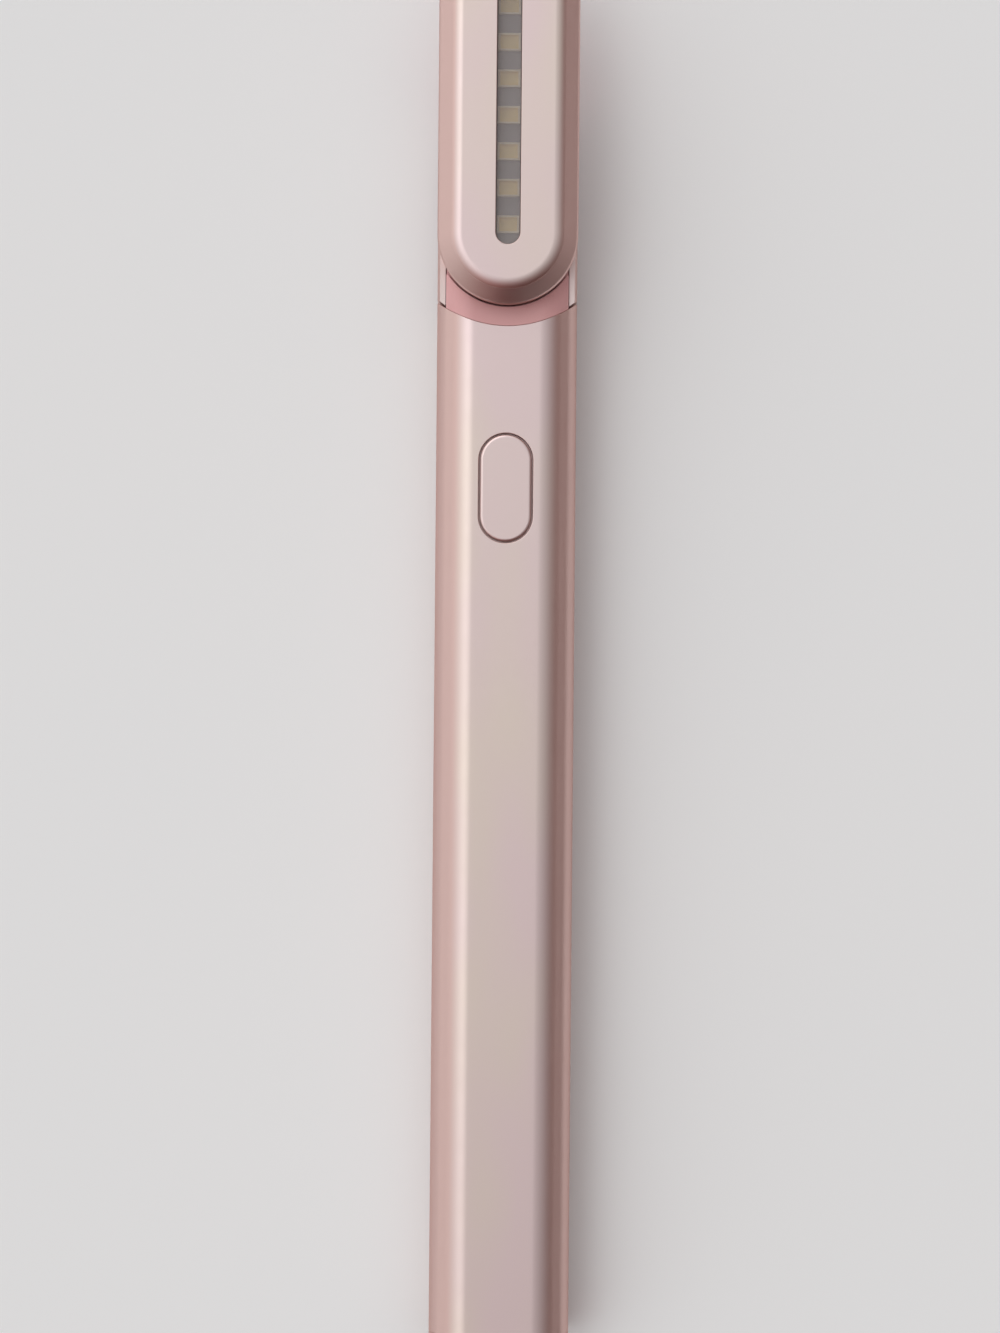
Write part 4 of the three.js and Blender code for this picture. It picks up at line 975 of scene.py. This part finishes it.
# %% The moulded bridge
NECK_SEAM, NECK_ROUND = 0.075, 0.22
FORK_HALF, FORK_REACH, BUSH_BORE_R = 4.0, 3.9, 2.25
LEAD_BORE_R, LEAD_BORE_HALF = 1.0, 6
fork_y = hinge_y - FORK_REACH
bridge = make("neck_moulding", skin(prism(neck_outline(neck_r), -neck_high.x, neck_high.x, "x")))
cut(bridge, handle_bar_tool(0, inner_front - PAST, BAR_END), how="INTERSECT")
cut(bridge, behind_front(NECK_SEAM))
cut(bridge, box_tool((-FORK_HALF, FORK_HALF), (fork_y, FORK_END), (-PAST, OUTSIDE)))
cut(bridge, rod_tool(BUSH_BORE_R, through, "x", hinge))
soften(bridge, NECK_ROUND, limit=40, segments=3)
lead_low, lead_high = in_mm(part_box("neck_lead"))
lead_z = (lead_low.z + lead_high.z) / 2
cut(bridge, rod_tool(LEAD_BORE_R, (fork_y - LEAD_BORE_HALF, fork_y + LEAD_BORE_HALF), "y", (0, 0, lead_z)))
print("the fork opens", 2 * FORK_HALF, "mm wide, for the head's knuckle")

# %% [markdown]
# Three more bodies are joined to the bridge: a plug that fills the tube's end, a core that ties it to the
# fork, and the brow. The brow is the part that the picture shows. It carries the handle's section on from
# the tube's arc to the round end of the head, and leaves a fine seam to both.

# %% The plug, the core and the brow
TUBE_SEAM, TUBE_LEAD = 0.02, 0.25
CORE_HALF, CORE_MARGIN = 6.2, 0.4
plug_rings = [
    cap_ring(PLUG_INSET + TUBE_LEAD, neck_low.y),
    cap_ring(PLUG_INSET, neck_low.y + TUBE_LEAD),
    [Vector((x, front_at(x) - TUBE_SEAM, z)) for x, z in handle_section(PLUG_INSET)],
]
plug = make("tool", skin(plug_rings))
core_z = (hinge_z - neck_r + CORE_MARGIN, hinge_z + neck_r - CORE_MARGIN)
core = box_tool((-CORE_HALF, CORE_HALF), (inner_front, front_at(CORE_HALF) + PAST), core_z)
cut(core, behind_front(-NECK_ROOT))

BROW_GAP, BROW_REACH, BROW_INSET = 0.05, 6.3, 0.1
BROW_SEAM, BROW_ROUND = 0.03, 0.12
end_low, end_high = in_mm(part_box("head_shell"))
end_centre = (0, end_low.y + end_high.x, 0)
brow = handle_bar_tool(BROW_INSET, front_at(0) - PAST, front_at(0) + BROW_REACH)
cut(brow, box_tool((-neck_high.x, neck_high.x), (0, BAR_END), (hinge_z, OUTSIDE)), how="INTERSECT")
cut(brow, behind_front(BROW_SEAM), rod_tool(end_high.x + BROW_GAP, (-PAST, OUTSIDE), "z", end_centre))
soften(brow, BROW_ROUND, limit=50, segments=2)
cut(bridge, core, plug, brow, how="UNION")
dress(bridge, "neck_bridge")

# %% [markdown]
# The side plates are cut from sheet metal, one millimetre thick, and from above they show only their edge.
# Each has a bore for the hinge pin, whose bright end shows at the side, and a recess for its screw.

# %% The side plates, their screws and the pins
PLATE_CREEP, PLATE_SEAM, PLATE_ROUND = 0.12, 0.3, 0.12
PIN_BORE_R, PIN_BEVEL = 1.35, 0.15
SIDE_BORE_R, SIDE_RECESS_R, SIDE_RECESS = 0.65, 1.2, 0.6
SIDE_SCREW_R, SIDE_SCREW_H, SIDE_SHANK_R, SIDE_SHANK = 1.05, 0.5, 0.5, 3.0
pin_r = (pin_high.z - pin_low.z) / 2
for word, side in (("left", -1), ("right", 1)):
    stock = sorted((side * (plate_low.x - PLATE_CREEP), side * (half_width + PAST)))
    plate = make("side_plate_" + word, skin(prism(neck_outline(plate_r), *stock, "x")))
    cut(plate, handle_bar_tool(0, inner_front - PAST, BAR_END), how="INTERSECT")
    cut(plate, behind_front(PLATE_SEAM))
    node = "neck_screw_" + word
    low, high = in_mm(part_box(node))
    spot = (0, (low.y + high.y) / 2, (low.z + high.z) / 2)
    recess_x = side * (half_width - SIDE_RECESS)
    cut(plate, rod_tool(PIN_BORE_R, through, "x", hinge))
    cut(plate, rod_tool(SIDE_RECESS_R, sorted((recess_x, side * OUTSIDE)), "x", spot))
    soften(plate, PLATE_ROUND, limit=40, segments=2)
    cut(plate, rod_tool(SIDE_BORE_R, through, "x", spot))
    dress(plate, "neck_side_plate_" + word)
    screw(node, SIDE_SCREW_R, SIDE_SCREW_H, SIDE_SHANK_R, SIDE_SHANK, (recess_x, *spot[1:]), "x", side)

    start, end = sorted((side * pin_low.x, side * pin_high.x))
    barrel = [
        (pin_r - PIN_BEVEL, start),
        (pin_r, start + PIN_BEVEL),
        (pin_r, end - PIN_BEVEL),
        (pin_r - PIN_BEVEL, end),
    ]
    pin = make("turned_pin_" + word, skin(spun(barrel, axis="x", at=hinge, steps=24)))
    dress(pin, "hinge_pin_" + word)

# %% [markdown]
# ## The head
#
# The head is a deep-drawn shell with a sloping shoulder. Its wall leans in by a few degrees towards the
# back, which is why the picture shows the shoulder and no wall. In plan all of its lines are stadiums round
# one centre, so the shell, the plate and the window are each a profile swept round the same straight line.

# %% The head's shell
shell_low, shell_high = in_mm(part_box("head_shell"))
head_r = shell_high.x
head_y = (shell_low.y + shell_high.y) / 2
head_straight = (shell_high.y - shell_low.y) / 2 - head_r
SHOULDER_RUN, SHOULDER_DROP, WALL_LEAN = 1.75, 1.6, 0.36
SHELL_WALL, RIM_WIDTH, SEAT_DEPTH, HOLLOW_DROP = 0.9, 2.15, 1.1, 2.8
SHOULDER_ROUND, BACK_ROUND, LIP_ROUND = 0.7, 0.4, 0.12
SEAT_ROUND, HOLLOW_ROUND, FINE_ROUND = 0.2, 0.4, 0.05
shoulder_r, inner_r, seat_r = head_r - SHOULDER_RUN, head_r - SHELL_WALL, head_r - RIM_WIDTH


def swept(name, profile, looped=True):
    """A piece of the head: a profile of (radius, height), taken round its stadium."""
    return make(name, skin(spun(profile, head_straight, at=(0, head_y, 0), steps=56), looped))


shell_profile = rounded([
    (inner_r, shell_low.z, LIP_ROUND),
    (head_r - WALL_LEAN, shell_low.z, BACK_ROUND),
    (head_r, shell_high.z - SHOULDER_DROP, SHOULDER_ROUND),
    (shoulder_r, shell_high.z, LIP_ROUND),
    (seat_r, shell_high.z, FINE_ROUND),
    (seat_r, shell_high.z - SEAT_DEPTH, SEAT_ROUND),
    (inner_r, shell_high.z - HOLLOW_DROP, HOLLOW_ROUND),
])
dress(swept("head_skin", shell_profile), "head_shell")

# %% [markdown]
# The treatment plate is a separate, thicker piece, and it sits on a thin clear seal. Its flat face falls
# away to the rim in an arc, which is white on the side of the light and brown on the other. A slot with the
# same round ends runs down its middle.

# %% The treatment plate
face_low, face_high = in_mm(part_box("treatment_plate"))
CROWN_RUN, CROWN_DROP, CROWN_STEPS = 1.3, 0.45, 12
SEAL_GAP, SEAT_PLAY = 0.07, 0.15
SLOT_R, POCKET_R, POCKET_DEPTH = 1.48, 2.6, 0.8
FOOT_ROUND, SLOT_ROUND, POCKET_ROUND = 0.1, 0.08, 0.03
plate_foot, plate_flat_r, foot_r = shell_high.z + SEAL_GAP, shoulder_r - CROWN_RUN, seat_r - SEAT_PLAY
pocket_z = face_low.z + POCKET_DEPTH
crown_r = (CROWN_RUN**2 + CROWN_DROP**2) / (2 * CROWN_DROP)
crown_turn = math.asin(CROWN_RUN / crown_r)
crown = [crown_turn * (1 - k / CROWN_STEPS) for k in range(CROWN_STEPS + 1)]
plate_profile = rounded([
    (foot_r, face_low.z, FOOT_ROUND),
    (foot_r, plate_foot, 0),
    (shoulder_r, plate_foot, FINE_ROUND),
    *((plate_flat_r + crown_r * math.sin(a), face_high.z - crown_r * (1 - math.cos(a)), 0) for a in crown),
    (SLOT_R, face_high.z, SLOT_ROUND),
    (SLOT_R, pocket_z, POCKET_ROUND),
    (POCKET_R, pocket_z, FINE_ROUND),
    (POCKET_R, face_low.z, FINE_ROUND),
])
dress(swept("plate_skin", plate_profile), "treatment_plate")

# %% [markdown]
# The window is pushed in from behind. Its flange sits in the pocket of the plate, and its face, with a
# small round on the rim, stands in the slot.

# %% The smoked window
glass_low, glass_high = in_mm(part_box("light_window"))
GLASS_SEAM, GLASS_FLANGE_R, GLASS_PLAY = 0.02, 2.5, 0.05
GLASS_ROUND, GLASS_BEND_RUN, GLASS_BEND_DROP = 0.12, 0.04, 0.03
glass_r, flange_z = SLOT_R - GLASS_SEAM, pocket_z - GLASS_PLAY
glass_profile = [
    (GLASS_FLANGE_R, glass_low.z),
    (GLASS_FLANGE_R, flange_z),
    (glass_r, flange_z),
    (glass_r, glass_high.z - GLASS_ROUND),
    (glass_r - GLASS_BEND_RUN, glass_high.z - GLASS_BEND_DROP),
    (glass_r - GLASS_ROUND, glass_high.z),
]
dress(swept("window_skin", glass_profile, looped=False), "light_window")

# %% [markdown]
# ## The back of the head
#
# The back is closed by a moulded cover. It carries the hinge's knuckle, two cheeks with a groove between
# them for the lead, and it is held by two screws.

# %% The back cover
cover_low, cover_high = in_mm(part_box("head_back_cover"))
COVER_THICK, COVER_SEAM, COVER_ROUND, COVER_BEND = 1.2, 0.1, 0.15, 0.04
cover_z = (shell_low.z, shell_low.z + COVER_THICK)
cover_r = inner_r - COVER_SEAM
cover_profile = [
    (cover_r - COVER_ROUND, cover_z[0]),
    (cover_r - COVER_BEND, cover_z[0] + COVER_BEND),
    (cover_r, cover_z[0] + COVER_ROUND),
    (cover_r, cover_z[1]),
]
cover = swept("back_cover", cover_profile, looped=False)
print("the cover is", COVER_THICK, "mm thick and", round(2 * cover_r, 2), "mm wide")

# %% The hinge's knuckle
CHEEK_INNER, CHEEK_OUTER, CHEEK_ROUND, CHEEK_SINK = 1.3, 3.4, 0.2, 0.6
HUB_R, HUB_HALF = 2.1, 1.5
knuckle_r = hinge_z - cover_low.z
cheek_top = cover_z[0] + CHEEK_SINK
cheek = [(hinge_y + knuckle_r, cheek_top), (hinge_y - knuckle_r, cheek_top)]
cheek += arc_points(hinge_y, hinge_z, knuckle_r, 180, 180, 32)
for start, end in ((-CHEEK_OUTER, -CHEEK_INNER), (CHEEK_INNER, CHEEK_OUTER)):
    side_piece = make("tool", skin(prism(cheek, start, end, "x")))
    soften(side_piece, CHEEK_ROUND, limit=40, segments=3)
    cut(cover, side_piece, how="UNION")
cut(cover, rod_tool(HUB_R, (-HUB_HALF, HUB_HALF), "x", hinge), how="UNION")
cut(cover, rod_tool(PIN_BORE_R, through, "x", hinge))
cut(cover, rod_tool(LEAD_BORE_R, (cover_z[0] - PAST, cover_z[1] + PAST), "z", (0, head_y, 0)))
print("the knuckle has a radius of", round(knuckle_r, 2), "mm")

# %% The cover's screws and the posts of the lamp board
COVER_SCREW_R, COVER_SCREW_H, COVER_SHANK_R = 1.2, 0.7, 0.55
COVER_BORE_R, COVER_RECESS_R, COVER_RECESS = 0.7, 1.35, 0.8
POST_R, POST_BORE_R, POST_SINK = 1.1, 0.55, 0.6
for node in ("head_screw_upper", "head_screw_lower"):
    low, high = in_mm(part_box(node))
    y = (low.y + high.y) / 2
    under_head = low.z + COVER_SCREW_H
    cut(cover, rod_tool(COVER_BORE_R, (0, OUTSIDE), "z", (0, y, 0)))
    cut(cover, rod_tool(COVER_RECESS_R, (0, cover_z[0] + COVER_RECESS), "z", (0, y, 0)))
    screw(node, COVER_SCREW_R, COVER_SCREW_H, COVER_SHANK_R, high.z - under_head, (0, y, under_head), "z", -1)

for node in ("led_screw_upper", "led_screw_lower"):
    low, high = in_mm(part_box(node))
    post_at = ((low.x + high.x) / 2, (low.y + high.y) / 2, 0)
    post = rod_tool(POST_R, (cover_z[1] - POST_SINK, cover_high.z), "z", post_at)
    cut(post, rod_tool(POST_BORE_R, (cover_z[1], cover_high.z + PAST), "z", post_at))
    cut(cover, post, how="UNION")
dress(cover, "head_back_cover")

# %% [markdown]
# ## The floor
#
# The wand lies on a plain pale surface. It is wide enough that its rim is never seen.

# %% The floor
FLOOR_RADIUS, FLOOR_GAP = 6000, 0.02
paper = finish("pale_floor", (0.90, 0.94, 0.952), 0.7, specular=0.2)
tint(paper, (0.90, 0.94, 0.952), (0.905, 0.942, 0.952), size_mm=60)
floor_mesh = bpy.data.meshes.new("floor")
floor_work = bmesh.new()
bmesh.ops.create_circle(floor_work, cap_ends=True, segments=96, radius=FLOOR_RADIUS * MM)
floor_work.to_mesh(floor_mesh)
floor_work.free()
floor = bpy.data.objects.new("floor", floor_mesh)
floor.location.z = -FLOOR_GAP * MM
floor.data.materials.append(paper)
bpy.context.scene.collection.objects.link(floor)
print("floor:", len(floor_mesh.vertices), "points round its rim")

# %% [markdown]
# ## The picture's settings
#
# The Standard view shows a colour as it was written. The CAD model's box is printed, so that the dressed
# wand can be measured against it.

# %% Finish
bpy.context.scene.view_settings.view_transform = "Standard"
print("CAD box  ", [[round(v / MM, 2) for v in corner] for corner in cad_box])
